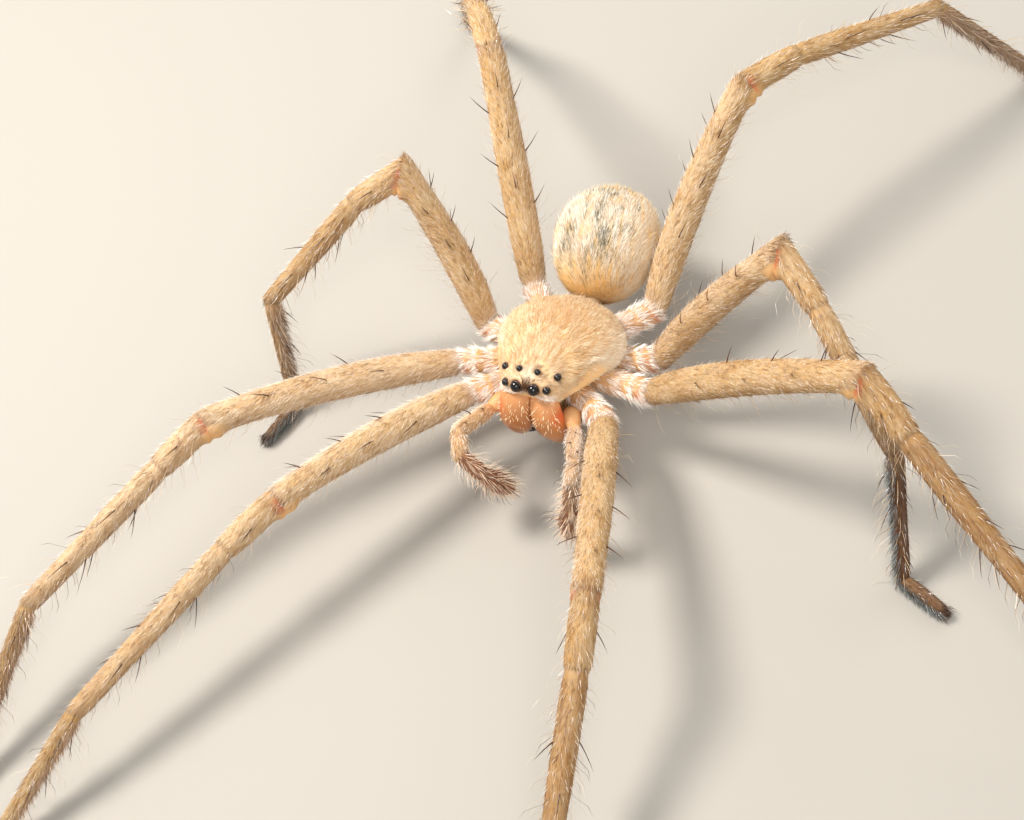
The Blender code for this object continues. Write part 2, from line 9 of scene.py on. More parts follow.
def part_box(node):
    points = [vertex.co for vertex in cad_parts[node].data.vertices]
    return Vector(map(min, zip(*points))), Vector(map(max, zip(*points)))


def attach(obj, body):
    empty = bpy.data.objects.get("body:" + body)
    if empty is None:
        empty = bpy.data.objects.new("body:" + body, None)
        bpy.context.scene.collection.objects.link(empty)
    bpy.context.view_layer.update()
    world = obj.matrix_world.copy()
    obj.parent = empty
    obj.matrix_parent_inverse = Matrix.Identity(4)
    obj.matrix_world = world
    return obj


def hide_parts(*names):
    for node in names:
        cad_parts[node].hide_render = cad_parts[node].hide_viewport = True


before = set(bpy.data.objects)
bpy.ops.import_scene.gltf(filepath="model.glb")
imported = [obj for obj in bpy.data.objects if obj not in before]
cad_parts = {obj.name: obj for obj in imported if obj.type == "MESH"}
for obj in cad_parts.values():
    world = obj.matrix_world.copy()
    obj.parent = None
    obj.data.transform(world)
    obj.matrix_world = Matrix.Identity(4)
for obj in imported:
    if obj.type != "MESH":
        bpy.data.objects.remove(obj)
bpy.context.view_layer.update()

# A life-size huntsman spider in its looks: skin, coat, spines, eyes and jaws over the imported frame.
# Sizes are in millimetres and angles in degrees; every finished mesh is scaled to metres.
# Body points are given as forward, left, up. The spider faces -Y and its left side is +X.

millimetre = 0.001

# how the body stands: the same numbers as the frame's own
stance = {"height": 4.85, "pitch": 2.8, "roll": 1.2}


# Vectors

def unit(vector):
    vector = np.asarray(vector, float)
    return vector / np.maximum(np.linalg.norm(vector, axis=-1, keepdims=True), 1e-9)


def turning(axis, angle):
    return np.array(Matrix.Rotation(math.radians(angle), 3, axis))


def carried(vector, before, after):
    # turns a vector as the limb turns from one direction to the next
    turn = Vector(before).rotation_difference(Vector(after))
    return np.array(turn @ Vector(vector))


def nearTo(distance, width):
    return np.exp(-(distance / width) ** 2)


def within(value):
    return np.clip(value, 0, 1)


bodyTurn = np.array([[0, 1, 0], [-1, 0, 0], [0, 0, 1]]) @ turning("X", stance["roll"])
bodyTurn = bodyTurn @ turning("Y", -stance["pitch"])


def onBody(point):
    return bodyTurn @ np.asarray(point, float) + [0, 0, stance["height"]]


def mirrored(point, side):
    return np.array([point[0], side * point[1], *point[2:]])


# Leg joints: the pose of the frame's legs, repeated here because their skin follows the same lines
legBuild = {
    "drumCentre": -0.1,
    "coxaStart": 2.55,
    "coxaInside": 1.5,       # the skin starts inside the body
    "roots": {1: (3.5, 4.28, 0.05), 2: (1.19, 5.98, 0.0), 3: (-1.55, 5.47, 0.0), 4: (-4.69, 3.91, 0.3)},
    # how far single coxae are swung from there in this pose: forward and outward
    "rootShifts": {"R2": (0.36, 0.0), "L2": (-0.44, 0.09), "L3": (-0.08, 0.2), "R4": (-0.17, -0.17),
                   "L4": (-0.22, 0.28)},
    "bearings": {1: 44, 2: 76, 3: 106, 4: 143},
    "lengths": {
        1: (13.4, 4.1, 12.3, 9.5, 2.6),
        2: (15.8, 3.7, 10.9, 11.7, 3.1),
        3: (11.0, 3.6, 9.0, 7.4, 3.0),
        4: (14.6, 4.0, 10.7, 10.3, 2.6),
    },
    # heading from ahead towards the leg's side, and slope, of femur, patella and tibia; then two headings
    "pose": {
        "R1": ((33, 8), (25, -6), (23, -10), 19, 19),
        "R2": ((49, 12), (25, -9), (24, -10), 6, 6),
        "R3": ((123, 57), (57, -24), (49, -37), -21, 15),
        "R4": ((153, 44), (144, -4), (144, -33), 141, 141),
        "L1": ((20, 15), (10, -23), (9, -20), 11, 12),
        "L2": ((85, 31), (58, -29), (59, -28), 58, 58),
        "L3": ((118, 44), (53, -26), (48, -31), 20, 65),
        "L4": ((172, 26), (147, -5), (142, -14), 121, 121),
    },
    "heelHeight": 0.52,
    "tipHeight": 0.33,
    "thickness": {1: 1.0, 2: 1.03, 3: 0.98, 4: 1.0},
    "femurBow": 0.03,
}


def direction(heading, slope, side):
    turn = math.radians(heading)
    rise = math.radians(slope)
    level = math.cos(rise)
    return np.array([side * math.sin(turn) * level, -math.cos(turn) * level, math.sin(rise)])


def legPoints(name):
    build = legBuild
    number = int(name[1])
    side = 1 if name[0] == "L" else -1
    bearing = math.radians(build["bearings"][number])
    start = (build["drumCentre"] + build["coxaStart"] * math.cos(bearing),
             side * build["coxaStart"] * math.sin(bearing), 0.05)
    forward, outward, up = build["roots"][number]
    ahead, aside = build["rootShifts"].get(name, (0.0, 0.0))
    points = [onBody(start), onBody((forward + ahead, side * (outward + aside), up))]
    pose = build["pose"][name]
    lengths = build["lengths"][number]
    for (heading, slope), length in zip(pose[:3], lengths[:3]):
        points.append(points[-1] + direction(heading, slope, side) * length)
    for heading, length, height in zip(pose[3:], lengths[3:], (build["heelHeight"], build["tipHeight"])):
        slope = math.degrees(math.asin((height - points[-1][2]) / length))
        points.append(points[-1] + direction(heading, slope, side) * length)
    return points


def frameShift():
    # the frame stands centred on the origin: compare a coxa's middle there with the one computed here
    loose = bmesh.new()
    loose.from_mesh(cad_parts["coxa_L1"].data)
    bmesh.ops.remove_doubles(loose, verts=loose.verts, dist=1e-7)
    middle = sum((vert.co for vert in loose.verts), Vector()) / len(loose.verts) / millimetre
    loose.free()
    start, end = legPoints("L1")[:2]
    ringPlaces = (0.0, 0.28, 0.55, 0.7, 0.78, 0.9, 1.0)
    halfGap = 0.15 / abs(float(unit(end - start) @ unit(unit(end - start) + unit(legPoints("L1")[2] - end))))
    last = end - unit(end - start) * halfGap
    here = start + (last - start) * np.mean(ringPlaces)
    return np.array([middle.x - here[0], middle.y - here[1], 0.0])


shift = frameShift()
print("frame shift in millimetres:", shift.round(3))


# Camera, floor and light

view = {
    "place": (37.79, -51.97, 89.22),   # before the shift
    "azimuth": 39.31,
    "elevation": 53.7,
    "roll": 19.6,
    "lens": 62.28,
    "sensor": 36,
    "clip": (0.001, 10),     # in metres
}
studio = {
    "floorColour": (182, 177, 169),
    "floorSize": 1500.0,
    "floorRoughness": 0.8,
    "world": 0.5,
    "worldColour": (1.0, 0.985, 0.96, 1.0),
    "key": {"from": (-110, 5, 165), "size": 60, "watts": 0.42, "warmth": (1.0, 0.96, 0.9)},
    "fill": {"from": (80, -110, 180), "size": 120, "watts": 0.2, "warmth": (1.0, 0.98, 0.95)},
    "back": {"from": (40, 200, 120), "size": 140, "watts": 0.12, "warmth": (1.0, 1.0, 1.0)},
}


def linear(red, green, blue):
    # a colour as a picture shows it, as the shader's linear value
    parts = [value / 255 for value in (red, green, blue)]
    return [part / 12.92 if part <= 0.04045 else ((part + 0.055) / 1.055) ** 2.4 for part in parts] + [1.0]


def makeCamera():
    azimuth = math.radians(view["azimuth"])
    elevation = math.radians(view["elevation"])
    roll = math.radians(view["roll"])
    level = np.array([math.cos(azimuth), math.sin(azimuth), 0])
    back = np.array([math.sin(azimuth) * math.cos(elevation), -math.cos(azimuth) * math.cos(elevation),
                     math.sin(elevation)])
    up = np.cross(back, level)
    right = level * math.cos(roll) - up * math.sin(roll)
    top = level * math.sin(roll) + up * math.cos(roll)
    lens = bpy.data.cameras.new("photoCamera")
    lens.lens = view["lens"]
    lens.sensor_width = view["sensor"]
    lens.clip_start, lens.clip_end = view["clip"]
    camera = bpy.data.objects.new("photoCamera", lens)
    turned = Matrix((right, top, back)).transposed().to_4x4()
    turned.translation = Vector((np.array(view["place"]) + shift) * millimetre)
    camera.matrix_world = turned
    bpy.context.scene.collection.objects.link(camera)
    bpy.context.scene.camera = camera


def makeLight(name, light):
    lamp = bpy.data.lights.new(name, "AREA")
    lamp.shape = "DISK"
    lamp.size = light["size"] * millimetre
    lamp.energy = light["watts"]
    lamp.color = light["warmth"]
    made = bpy.data.objects.new(name, lamp)
    place = Vector(light["from"]) * millimetre
    made.location = place
    made.rotation_mode = "QUATERNION"
    made.rotation_quaternion = (-place).to_track_quat("-Z", "Y")
    bpy.context.scene.collection.objects.link(made)


def makeStudio():
    bpy.context.scene.view_settings.view_transform = "Standard"
    world = bpy.data.worlds.new("studio")
    world.use_nodes = True
    world.node_tree.nodes["Background"].inputs["Color"].default_value = studio["worldColour"]
    world.node_tree.nodes["Background"].inputs["Strength"].default_value = studio["world"]
    bpy.context.scene.world = world
    for name in ("key", "fill", "back"):
        makeLight(name, studio[name])
    floor = bmesh.new()
    bmesh.ops.create_grid(floor, x_segments=1, y_segments=1, size=studio["floorSize"] * millimetre / 2)
    data = bpy.data.meshes.new("floor")
    floor.to_mesh(data)
    floor.free()
    made = bpy.data.objects.new("floor", data)
    bpy.context.scene.collection.objects.link(made)
    paint = bpy.data.materials.new("floorPaint")
    paint.use_nodes = True
    shader = paint.node_tree.nodes["Principled BSDF"]
    shader.inputs["Base Color"].default_value = linear(*studio["floorColour"])
    shader.inputs["Roughness"].default_value = studio["floorRoughness"]
    data.materials.append(paint)


makeCamera()
makeStudio()
print("camera, floor and light are set")


# Materials

class Shades:
    # short ways to add nodes to one material
    def __init__(self, name):
        self.made = bpy.data.materials.new(name)
        self.made.use_nodes = True
        self.tree = self.made.node_tree
        self.shader = self.tree.nodes["Principled BSDF"]

    def plug(self, socket, value):
        if hasattr(value, "is_output"):
            self.tree.links.new(value, socket)
        else:
            socket.default_value = value

    def attribute(self, name):
        node = self.tree.nodes.new("ShaderNodeAttribute")
        node.attribute_name = name
        return node.outputs["Fac"]

    def place(self):
        return self.tree.nodes.new("ShaderNodeTexCoord").outputs["Object"]

    def noise(self, scale, detail=3.0, where=None, roughness=0.55):
        node = self.tree.nodes.new("ShaderNodeTexNoise")
        node.inputs["Scale"].default_value = scale
        node.inputs["Detail"].default_value = detail
        node.inputs["Roughness"].default_value = roughness
        self.plug(node.inputs["Vector"], where or self.place())
        return node.outputs["Fac"]

    def maths(self, operation, first, second=0.0, clamp=False):
        node = self.tree.nodes.new("ShaderNodeMath")
        node.operation = operation
        node.use_clamp = clamp
        self.plug(node.inputs[0], first)
        self.plug(node.inputs[1], second)
        return node.outputs[0]

    def ramp(self, factor, *stops):
        node = self.tree.nodes.new("ShaderNodeValToRGB")
        self.plug(node.inputs["Fac"], factor)
        while len(node.color_ramp.elements) < len(stops):
            node.color_ramp.elements.new(0.5)
        for element, (place, colour) in zip(node.color_ramp.elements, stops):
            element.position = place
            element.color = colour
        return node.outputs["Color"]

    def mix(self, factor, first, second, blend="MIX"):
        node = self.tree.nodes.new("ShaderNodeMix")
        node.data_type = "RGBA"
        node.blend_type = blend
        self.plug(node.inputs[0], factor)
        self.plug(node.inputs[6], first)
        self.plug(node.inputs[7], second)
        return node.outputs[2]

    def bump(self, height, strength, distance):
        node = self.tree.nodes.new("ShaderNodeBump")
        node.inputs["Strength"].default_value = strength
        node.inputs["Distance"].default_value = distance
        self.plug(node.inputs["Height"], height)
        self.plug(self.shader.inputs["Normal"], node.outputs["Normal"])

    def finish(self, colour, roughness, **values):
        self.plug(self.shader.inputs["Base Color"], colour)
        self.plug(self.shader.inputs["Roughness"], roughness)
        for name, value in values.items():
            self.shader.inputs[name.replace("_", " ")].default_value = value
        return self.made


# marks on skin and hair alike: pale, dark, grey and bare come from the surface's own attributes
furPaint = {
    "leg": {
        "deep": (148, 98, 44), "middle": (224, 180, 112), "light": (252, 230, 186),
        "pale": (255, 240, 222), "dark": (124, 78, 38), "grey": (78, 50, 34), "bare": (224, 174, 116),
    },
    "carapace": {
        "deep": (188, 138, 80), "middle": (240, 200, 145), "light": (255, 240, 206),
        "pale": (255, 244, 222), "dark": (120, 74, 42), "grey": (222, 172, 116), "bare": (250, 202, 136),
    },
    "abdomen": {
        "deep": (198, 160, 108), "middle": (244, 224, 194), "light": (255, 250, 240),
        "pale": (255, 254, 246), "dark": (92, 92, 66), "grey": (252, 212, 140), "bare": (226, 186, 146),
    },
    "palp": {
        "deep": (156, 106, 62), "middle": (220, 178, 126), "light": (255, 234, 200),
        "pale": (255, 236, 210), "dark": (92, 56, 40), "grey": (138, 84, 64), "bare": (234, 178, 112),
    },
}
furLook = {
    "pattern": 2600,
    "drift": 520,            # slower changes over hair and skin
    "grain": 5200,
    "red": (206, 86, 54),
    "hairRoughness": 0.42,
    "skinRoughness": 0.5,
}
marks = ("markPale", "markDark", "markGrey", "markBare", "markRed")


def furMaterial(name, colours, hair):
    shades = Shades(name)
    pick = {key: linear(*value) for key, value in colours.items()}
    tone = shades.attribute("hairTone") if hair else shades.noise(furLook["pattern"], 4)
    drift = shades.noise(furLook["drift"], 2)
    tone = shades.maths("ADD", shades.maths("MULTIPLY", tone, 0.8), shades.maths("MULTIPLY", drift, 0.6))
    tone = shades.maths("SUBTRACT", tone, 0.15)
    colour = shades.ramp(tone, (0.1, pick["deep"]), (0.42, pick["middle"]), (0.85, pick["light"]))
    if hair:
        root = shades.mix(0.4, colour, pick["deep"])
        colour = shades.mix(shades.attribute("hairTip"), root, colour)
    share = shades.maths("ADD", shades.maths("MULTIPLY", tone, 0.7), 0.6, clamp=True)
    for mark, paint in (("markPale", "pale"), ("markGrey", "grey"), ("markDark", "dark")):
        colour = shades.mix(shades.maths("MULTIPLY", shades.attribute(mark), share), colour, pick[paint])
    if not hair:
        # the skin under the coat is mixed towards the deep colour as painted shade between the hairs
        colour = shades.mix(0.35, colour, pick["deep"])
        colour = shades.mix(shades.attribute("markBare"), colour, pick["bare"])
    colour = shades.mix(shades.attribute("markRed"), colour, linear(*furLook["red"]))
    if hair:
        dim = shades.maths("MULTIPLY", shades.maths("SUBTRACT", 1.0, shades.attribute("hairTone")), 0.18)
        colour = shades.mix(dim, colour, pick["deep"], "MULTIPLY")
        return shades.finish(colour, furLook["hairRoughness"], Specular_IOR_Level=0.5)
    shades.bump(shades.noise(furLook["grain"], 3), 0.5, 0.03 * millimetre)
    return shades.finish(colour, furLook["skinRoughness"], Specular_IOR_Level=0.4)


hornMarks = {"pale": (224, 160, 106), "red": (226, 84, 40)}


def hornMaterial(name, dark, light, scale, roughness, coat=0.0):
    # cuticle without fur: jaws, fangs, spines and claws
    shades = Shades(name)
    tone = shades.noise(scale, 4)
    colour = shades.ramp(tone, (0.3, linear(*dark)), (0.75, linear(*light)))
    colour = shades.mix(shades.attribute("markDark"), colour, linear(*dark))
    colour = shades.mix(shades.attribute("markPale"), colour, linear(*hornMarks["pale"]))
    colour = shades.mix(shades.attribute("markRed"), colour, linear(*hornMarks["red"]))
    shades.bump(shades.noise(scale * 2.5, 2), 0.25, 0.02 * millimetre)
    return shades.finish(colour, roughness, Coat_Weight=coat, Coat_Roughness=0.12)


def eyeMaterial():
    shades = Shades("eyeGlass")
    colour = shades.ramp(shades.noise(1500, 2), (0.35, linear(6, 4, 4)), (0.8, linear(26, 18, 14)))
    return shades.finish(colour, 0.08, Coat_Weight=0.5, Coat_Roughness=0.02, Specular_IOR_Level=0.4)


def bristleMaterial(name, root, tip, warm=None):
    shades = Shades(name)
    colour = shades.mix(shades.attribute("hairTip"), linear(*root), linear(*tip))
    colour = shades.mix(shades.maths("MULTIPLY", shades.noise(900, 2), 0.5), colour, linear(*root))
    if warm:    # where the leg is less grey
        grey = shades.maths("MULTIPLY", shades.attribute("markGrey"), 2.0)
        warmth = shades.maths("SUBTRACT", 1.7, grey, clamp=True)
        colour = shades.mix(warmth, colour, linear(*warm))
    return shades.finish(colour, 0.28, Specular_IOR_Level=0.7)


hornLooks = {
    # dark and light colours, size of the pattern, roughness, gloss coat
    "jaw": ((166, 92, 38), (206, 134, 70), 700, 0.28, 0.4),
    "fang": ((20, 8, 6), (70, 26, 14), 900, 0.18, 0.8),
    "claw": ((24, 16, 14), (58, 38, 30), 1500, 0.25, 0.4),
    "spine": ((44, 24, 14), (104, 60, 34), 1800, 0.3, 0.4),
    "eyeRim": ((34, 18, 12), (92, 52, 30), 2500, 0.35, 0.4),
}
bristleLooks = {
    # colours of root and tip, and of the warmer hairs
    "paleBristle": ((238, 200, 160), (255, 252, 244)),
    "goldBristle": ((255, 222, 168), (255, 252, 236)),
    "whiteHair": ((255, 242, 230), (255, 255, 252)),
    "longHair": ((196, 160, 112), (250, 240, 224)),
    "darkBristle": ((58, 34, 22), (112, 76, 52)),
    "soleHair": ((74, 76, 74), (176, 184, 184), (178, 142, 112)),
}
materials = {"eye": eyeMaterial()}
for furName, furColours in furPaint.items():
    materials[furName + "Skin"] = furMaterial(furName + "Skin", furColours, False)
    materials[furName + "Coat"] = furMaterial(furName + "Coat", furColours, True)
for hornName, hornLook in hornLooks.items():
    materials[hornName] = hornMaterial(hornName + "Horn", *hornLook)
for bristleName, bristleLook in bristleLooks.items():
    materials[bristleName] = bristleMaterial(bristleName, *bristleLook)
print("materials:", len(materials))


# Forms: a form is a sheet of points, ring by ring, closed round the limb, with marks at each point

def eased(knots, rows, places, rounds):
    # rows of values read between their knots and smoothed a little
    rows = np.array(rows, float)
    found = np.stack([np.interp(places, knots, column) for column in rows.T], 1)
    for _ in range(rounds):
        found[1:-1] = found[1:-1] * 0.5 + found[:-2] * 0.25 + found[2:] * 0.25
    return found


def smoothSections(sections, places):
    table = np.array(sections, float)
    return eased(table[:, 0], table[:, 1:], places, 1)


def denser(rows, count, rounds=2):
    return eased(np.linspace(0, 1, len(rows)), rows, np.linspace(0, 1, count + 1), rounds)


def sheetForm(points, centres, angles):
    form = {"points": points, "centres": centres, "angles": angles}
    for key in (*marks, "hairless"):
        form[key] = np.zeros(points.shape[:2])
    return form


def newForm(rings, around):
    # rings: list of (centre, across, upward, half width, half height); angle 0 is upward
    angles = np.linspace(0, 2 * math.pi, around + 1)
    centres = np.array([ring[0] for ring in rings])
    across, upward = [np.array([ring[side] * ring[side + 2] for ring in rings]) for side in (1, 2)]
    points = centres[:, None] + across[:, None] * np.sin(angles)[None, :, None]
    points = points + upward[:, None] * np.cos(angles)[None, :, None]
    return sheetForm(points, centres, angles)


def setMarks(form, **values):
    for key, value in values.items():
        form[key] = within(np.broadcast_to(value, form["points"].shape[:2]))


def chained(ways, firstBacks):
    # the mitre planes between a limb's parts, and each part's outer side
    planes = [ways[0]] + [unit(a + b) for a, b in zip(ways, ways[1:])] + [ways[-1]]
    backs = list(firstBacks)
    for before, after in zip(ways[len(backs) - 1:], ways[len(backs):]):
        backs.append(carried(backs[-1], before, after))
    return planes, backs


def mitredRings(line, index, places, halves, reach, bow=0.0):
    # rings along one part of a limb, which lean into the mitres at its ends
    points, ways, planes, backs = line
    start, end = points[index], points[index + 1]
    axis, back = ways[index], backs[index]
    side = np.cross(back, axis)
    length = np.linalg.norm(end - start)
    first = 1 if index else 0      # the part before has made the ring they share
    for place, (halfWidth, halfHeight) in zip(places[first:], halves[first:]):
        fromStart = max(0.0, 1 - place * length / reach)
        fromEnd = max(0.0, 1 - (1 - place) * length / reach)
        lean = [-fromStart * (sideways @ planes[index]) / (axis @ planes[index])
                - fromEnd * (sideways @ planes[index + 1]) / (axis @ planes[index + 1])
                for sideways in (side, back)]
        centre = start + (end - start) * place + back * bow * 4 * place * (1 - place)
        yield place, (centre, side + axis * lean[0], back + axis * lean[1], halfWidth, halfHeight)


def link(name, data, material):
    data.materials.append(materials[material])
    made = bpy.data.objects.new(name, data)
    bpy.context.scene.collection.objects.link(made)
    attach(made, "root")
    return made


def smoothObject(name, whole, material):
    for face in whole.faces:
        face.smooth = True
    data = bpy.data.meshes.new(name)
    whole.to_mesh(data)
    whole.free()
    return link(name, data, material)


def skinObject(name, forms, material):
    # every form is a grid bent to its points; its seam and ends are merged
    whole = bmesh.new()
    uvLayer = whole.loops.layers.uv.new("OFBake")
    layers = {mark: whole.verts.layers.float.new(mark) for mark in marks}
    strip = 1 / len(forms)
    for number, form in enumerate(forms):
        rows, columns = form["points"].shape[:2]
        made = bmesh.ops.create_grid(whole, x_segments=rows - 1, y_segments=columns - 1, size=1.0)["verts"]
        faces = {face for vert in made for face in vert.link_faces}
        for face in faces:
            for loop in face.loops:
                spot = loop.vert.co
                loop[uvLayer].uv = ((spot.x + 1) / 2, ((spot.y + 1) / 2 + number) * strip)
        for vert in made:
            row = round((vert.co.x + 1) / 2 * (rows - 1))
            column = round((vert.co.y + 1) / 2 * (columns - 1))
            vert.co = form["points"][row, column]
            for mark in marks:
                vert[layers[mark]] = form[mark][row, column]
        bmesh.ops.remove_doubles(whole, verts=made, dist=1e-4)
    bmesh.ops.recalc_face_normals(whole, faces=whole.faces)
    for vert in whole.verts:
        vert.co = (vert.co + Vector(shift)) * millimetre
    return smoothObject(name, whole, material)


# Hair: one hair is a three-sided spike, plain or with a bent waist, repeated at many roots

def hairShape(waist):
    # across, along, up: the base, the waist if any, and the tip
    hair = bmesh.new()
    base = bmesh.ops.create_circle(hair, cap_ends=True, radius=1.0, segments=3)["verts"]
    bmesh.ops.rotate(hair, verts=base, cent=(0, 0, 0), matrix=Matrix.Rotation(math.radians(90), 3, "X"))
    edges = list(hair.edges)
    if waist:
        grown = bmesh.ops.extrude_edge_only(hair, edges=edges)["geom"]
        verts = [part for part in grown if isinstance(part, bmesh.types.BMVert)]
        edges = [part for part in grown if isinstance(part, bmesh.types.BMEdge)]
        bmesh.ops.translate(hair, verts=verts, vec=(0, 0.5, 0))
        bmesh.ops.scale(hair, verts=verts, vec=(0.8, 1, 0.8))
    grown = bmesh.ops.extrude_edge_only(hair, edges=edges)["geom"]
    verts = [part for part in grown if isinstance(part, bmesh.types.BMVert)]
    bmesh.ops.pointmerge(hair, verts=verts, merge_co=(0, 1, 0))
    bmesh.ops.recalc_face_normals(hair, faces=hair.faces)
    hair.verts.index_update()
    points = np.array([vert.co for vert in hair.verts])
    faces = [[vert.index for vert in face.verts] for face in hair.faces]
    hair.free()
    return points, faces


furShape = hairShape(False)
bristleShape = hairShape(True)


def between(sheet, rows, columns, alongShare, aroundShare):
    # a value of a form between its grid points
    a, b = alongShare, aroundShare
    if sheet.ndim == 3:
        a, b = a[:, None], b[:, None]
    low = sheet[rows, columns] * (1 - b) + sheet[rows, columns + 1] * b
    high = sheet[rows + 1, columns] * (1 - b) + sheet[rows + 1, columns + 1] * b
    return low * (1 - a) + high * a


def rootsOn(form, count, chance, weight=None):
    # roots spread evenly over a form's area, with what they need from it
    points = form["points"]
    p00, p10, p01, p11 = points[:-1, :-1], points[1:, :-1], points[:-1, 1:], points[1:, 1:]
    halves = (np.cross(p10 - p00, p01 - p00), np.cross(p10 - p11, p01 - p11))
    area = np.linalg.norm(halves[0], axis=2) + np.linalg.norm(halves[1], axis=2)
    share = area * (1 - form["hairless"][:-1, :-1])
    if weight is not None:
        share = share * np.broadcast_to(weight, points.shape[:2])[:-1, :-1]
    total = np.cumsum(share.ravel())
    picks = (np.arange(count) + chance.random(count)) / count * total[-1]
    cells = np.minimum(np.searchsorted(total, picks), len(total) - 1)
    rows, columns = np.divmod(cells, points.shape[1] - 1)
    along, aside = chance.random(count), chance.random(count)
    alongLie = np.gradient(points, axis=0)
    aroundLie = np.empty_like(points)
    aroundLie[:, 1:-1] = points[:, 2:] - points[:, :-2]
    aroundLie[:, 0] = points[:, 1] - points[:, -2]
    aroundLie[:, -1] = aroundLie[:, 0]
    centres = np.repeat(form["centres"][:, None], points.shape[1], 1)
    spot, lie, around, middle = [between(sheet, rows, columns, along, aside)
                                 for sheet in (points, alongLie, aroundLie, centres)]
    lie, around = unit(lie), unit(around)
    normal = unit(np.cross(lie, around))
    normal = normal * np.where(((spot - middle) * normal).sum(1) < 0, -1, 1)[:, None]
    row, column = rows + along, columns + aside
    roots = {
        "spot": spot, "lie": lie, "normal": normal,
        "around": unit(around - lie * (around * lie).sum(1)[:, None]),
        "angle": form["angles"][columns] + aside * (form["angles"][1] - form["angles"][0]),
        "uv": np.stack([row / (points.shape[0] - 1), column / (points.shape[1] - 1)], 1),
        "row": row,
    }
    for mark in marks:
        roots[mark] = between(form[mark], rows, columns, along, aside)
    return roots


def clumped(roots, across, along, layer, marked, strength):
    # darker and paler clumps of hair, longer than they are wide
    turns, rows = roots["angle"] * across, roots["row"] * along
    value = np.array([noise.noise((turn, row, layer)) for turn, row in zip(turns, rows)]) * 1.7
    for mark, share, side in ((marked, strength[0], value), ("markPale", strength[1], -value)):
        roots[mark] = within(roots[mark] + share * within(side))


def joined(rootSets):
    return {key: np.concatenate([roots[key] for roots in rootSets]) for key in rootSets[0]}


hairVariety = {
    "length": 0.16,
    "width": 0.15,
    "most": 0.4,             # how far a hair's length and width stray at most
    "strayRise": (0.15, 0.6),
    "sink": 0.02,            # how deep a root sits in the skin
    "uvPatch": 0.0015,
}


def hairObject(name, roots, material, length, width, thick, rise, chance, spread=0.0, stray=0.05,
               toneMarks=False, floor=None, shape=furShape):
    # length, width, thick and rise are numbers or one value for each root
    count = len(roots["spot"])
    most = hairVariety["most"]
    length = length * (1 + chance.normal(0, hairVariety["length"], count).clip(-most, most))
    width = width * (1 + chance.normal(0, hairVariety["width"], count).clip(-most, most))
    thick = np.broadcast_to(thick, count)
    rise = rise + np.where(chance.random(count) < stray, chance.uniform(*hairVariety["strayRise"], count), 0)
    wave = roots["spot"] @ np.array([[2.1, 0.7], [-1.3, 2.4], [0.9, 1.6]])
    swing = 0.14 * np.sin(wave[:, 0]) + 0.1 * np.sin(wave[:, 1] + 1.0) + chance.normal(0, 0.1, count)
    sideways = spread * np.sin(roots["angle"]) + swing
    ahead = unit(roots["lie"] + roots["around"] * sideways[:, None])
    normal = roots["normal"]
    across = np.cross(ahead, normal)
    outline, faces = shape
    lift = rise[:, None] * length[:, None] * (1 - (1 - outline[None, :, 1]) ** 2)
    local = outline[None, :, 2] * thick[:, None] * 0.5 + lift - hairVariety["sink"]
    sidestep = outline[None, :, 0] * width[:, None] * 0.5
    points = roots["spot"][:, None] + across[:, None] * sidestep[:, :, None]
    points = points + ahead[:, None] * (outline[None, :, 1] * length[:, None])[:, :, None]
    points = points + normal[:, None] * local[:, :, None]
    if floor is not None:
        points[:, :, 2] = np.maximum(points[:, :, 2], floor)
    corner = np.stack([outline[:, 1] * 2 - 1, outline[:, 0]], 1)
    uv = roots["uv"][:, None] + corner[None] * hairVariety["uvPatch"]
    return joinedCopies(name, points, faces, uv, outline[:, 1], roots, material, chance, toneMarks)


def joinedCopies(name, points, faces, uv, tips, roots, material, chance, toneMarks):
    count, corners = points.shape[:2]
    sizes = np.array([len(face) for face in faces])
    flat = np.concatenate([np.array(face) for face in faces])
    loops = (flat[None] + (np.arange(count) * corners)[:, None]).ravel()
    starts = np.concatenate([[0], np.cumsum(sizes)[:-1]])
    data = bpy.data.meshes.new(name)
    data.vertices.add(count * corners)
    data.vertices.foreach_set("co", ((points + shift) * millimetre).astype(np.float32).ravel())
    data.loops.add(len(loops))
    data.loops.foreach_set("vertex_index", loops.astype(np.int32))
    data.polygons.add(count * len(faces))
    starts = starts[None] + (np.arange(count) * len(flat))[:, None]
    data.polygons.foreach_set("loop_start", starts.ravel().astype(np.int32))
    data.polygons.foreach_set("use_smooth", np.zeros(count * len(faces), bool))
    tone = chance.random(count)
    values = {"hairTone": tone, **{mark: roots[mark] for mark in marks}}
    if toneMarks:  # a hair in a dark patch is either dark or not
        values["markDark"] = np.where(chance.random(count) < roots["markDark"], 0.55 + 0.45 * tone, 0.0)
    for key, value in values.items():
        layer = data.attributes.new(key, "FLOAT", "POINT")
        layer.data.foreach_set("value", np.repeat(value, corners).astype(np.float32))
    layer = data.attributes.new("hairTip", "FLOAT", "POINT")
    layer.data.foreach_set("value", np.tile(tips, count).astype(np.float32))
    layer = data.uv_layers.new(name="OFBake")
    layer.data.foreach_set("uv", uv.reshape(-1, 2)[loops].astype(np.float32).ravel())
    data.update(calc_edges=True)
    data.validate()
    return link(name, data, material)


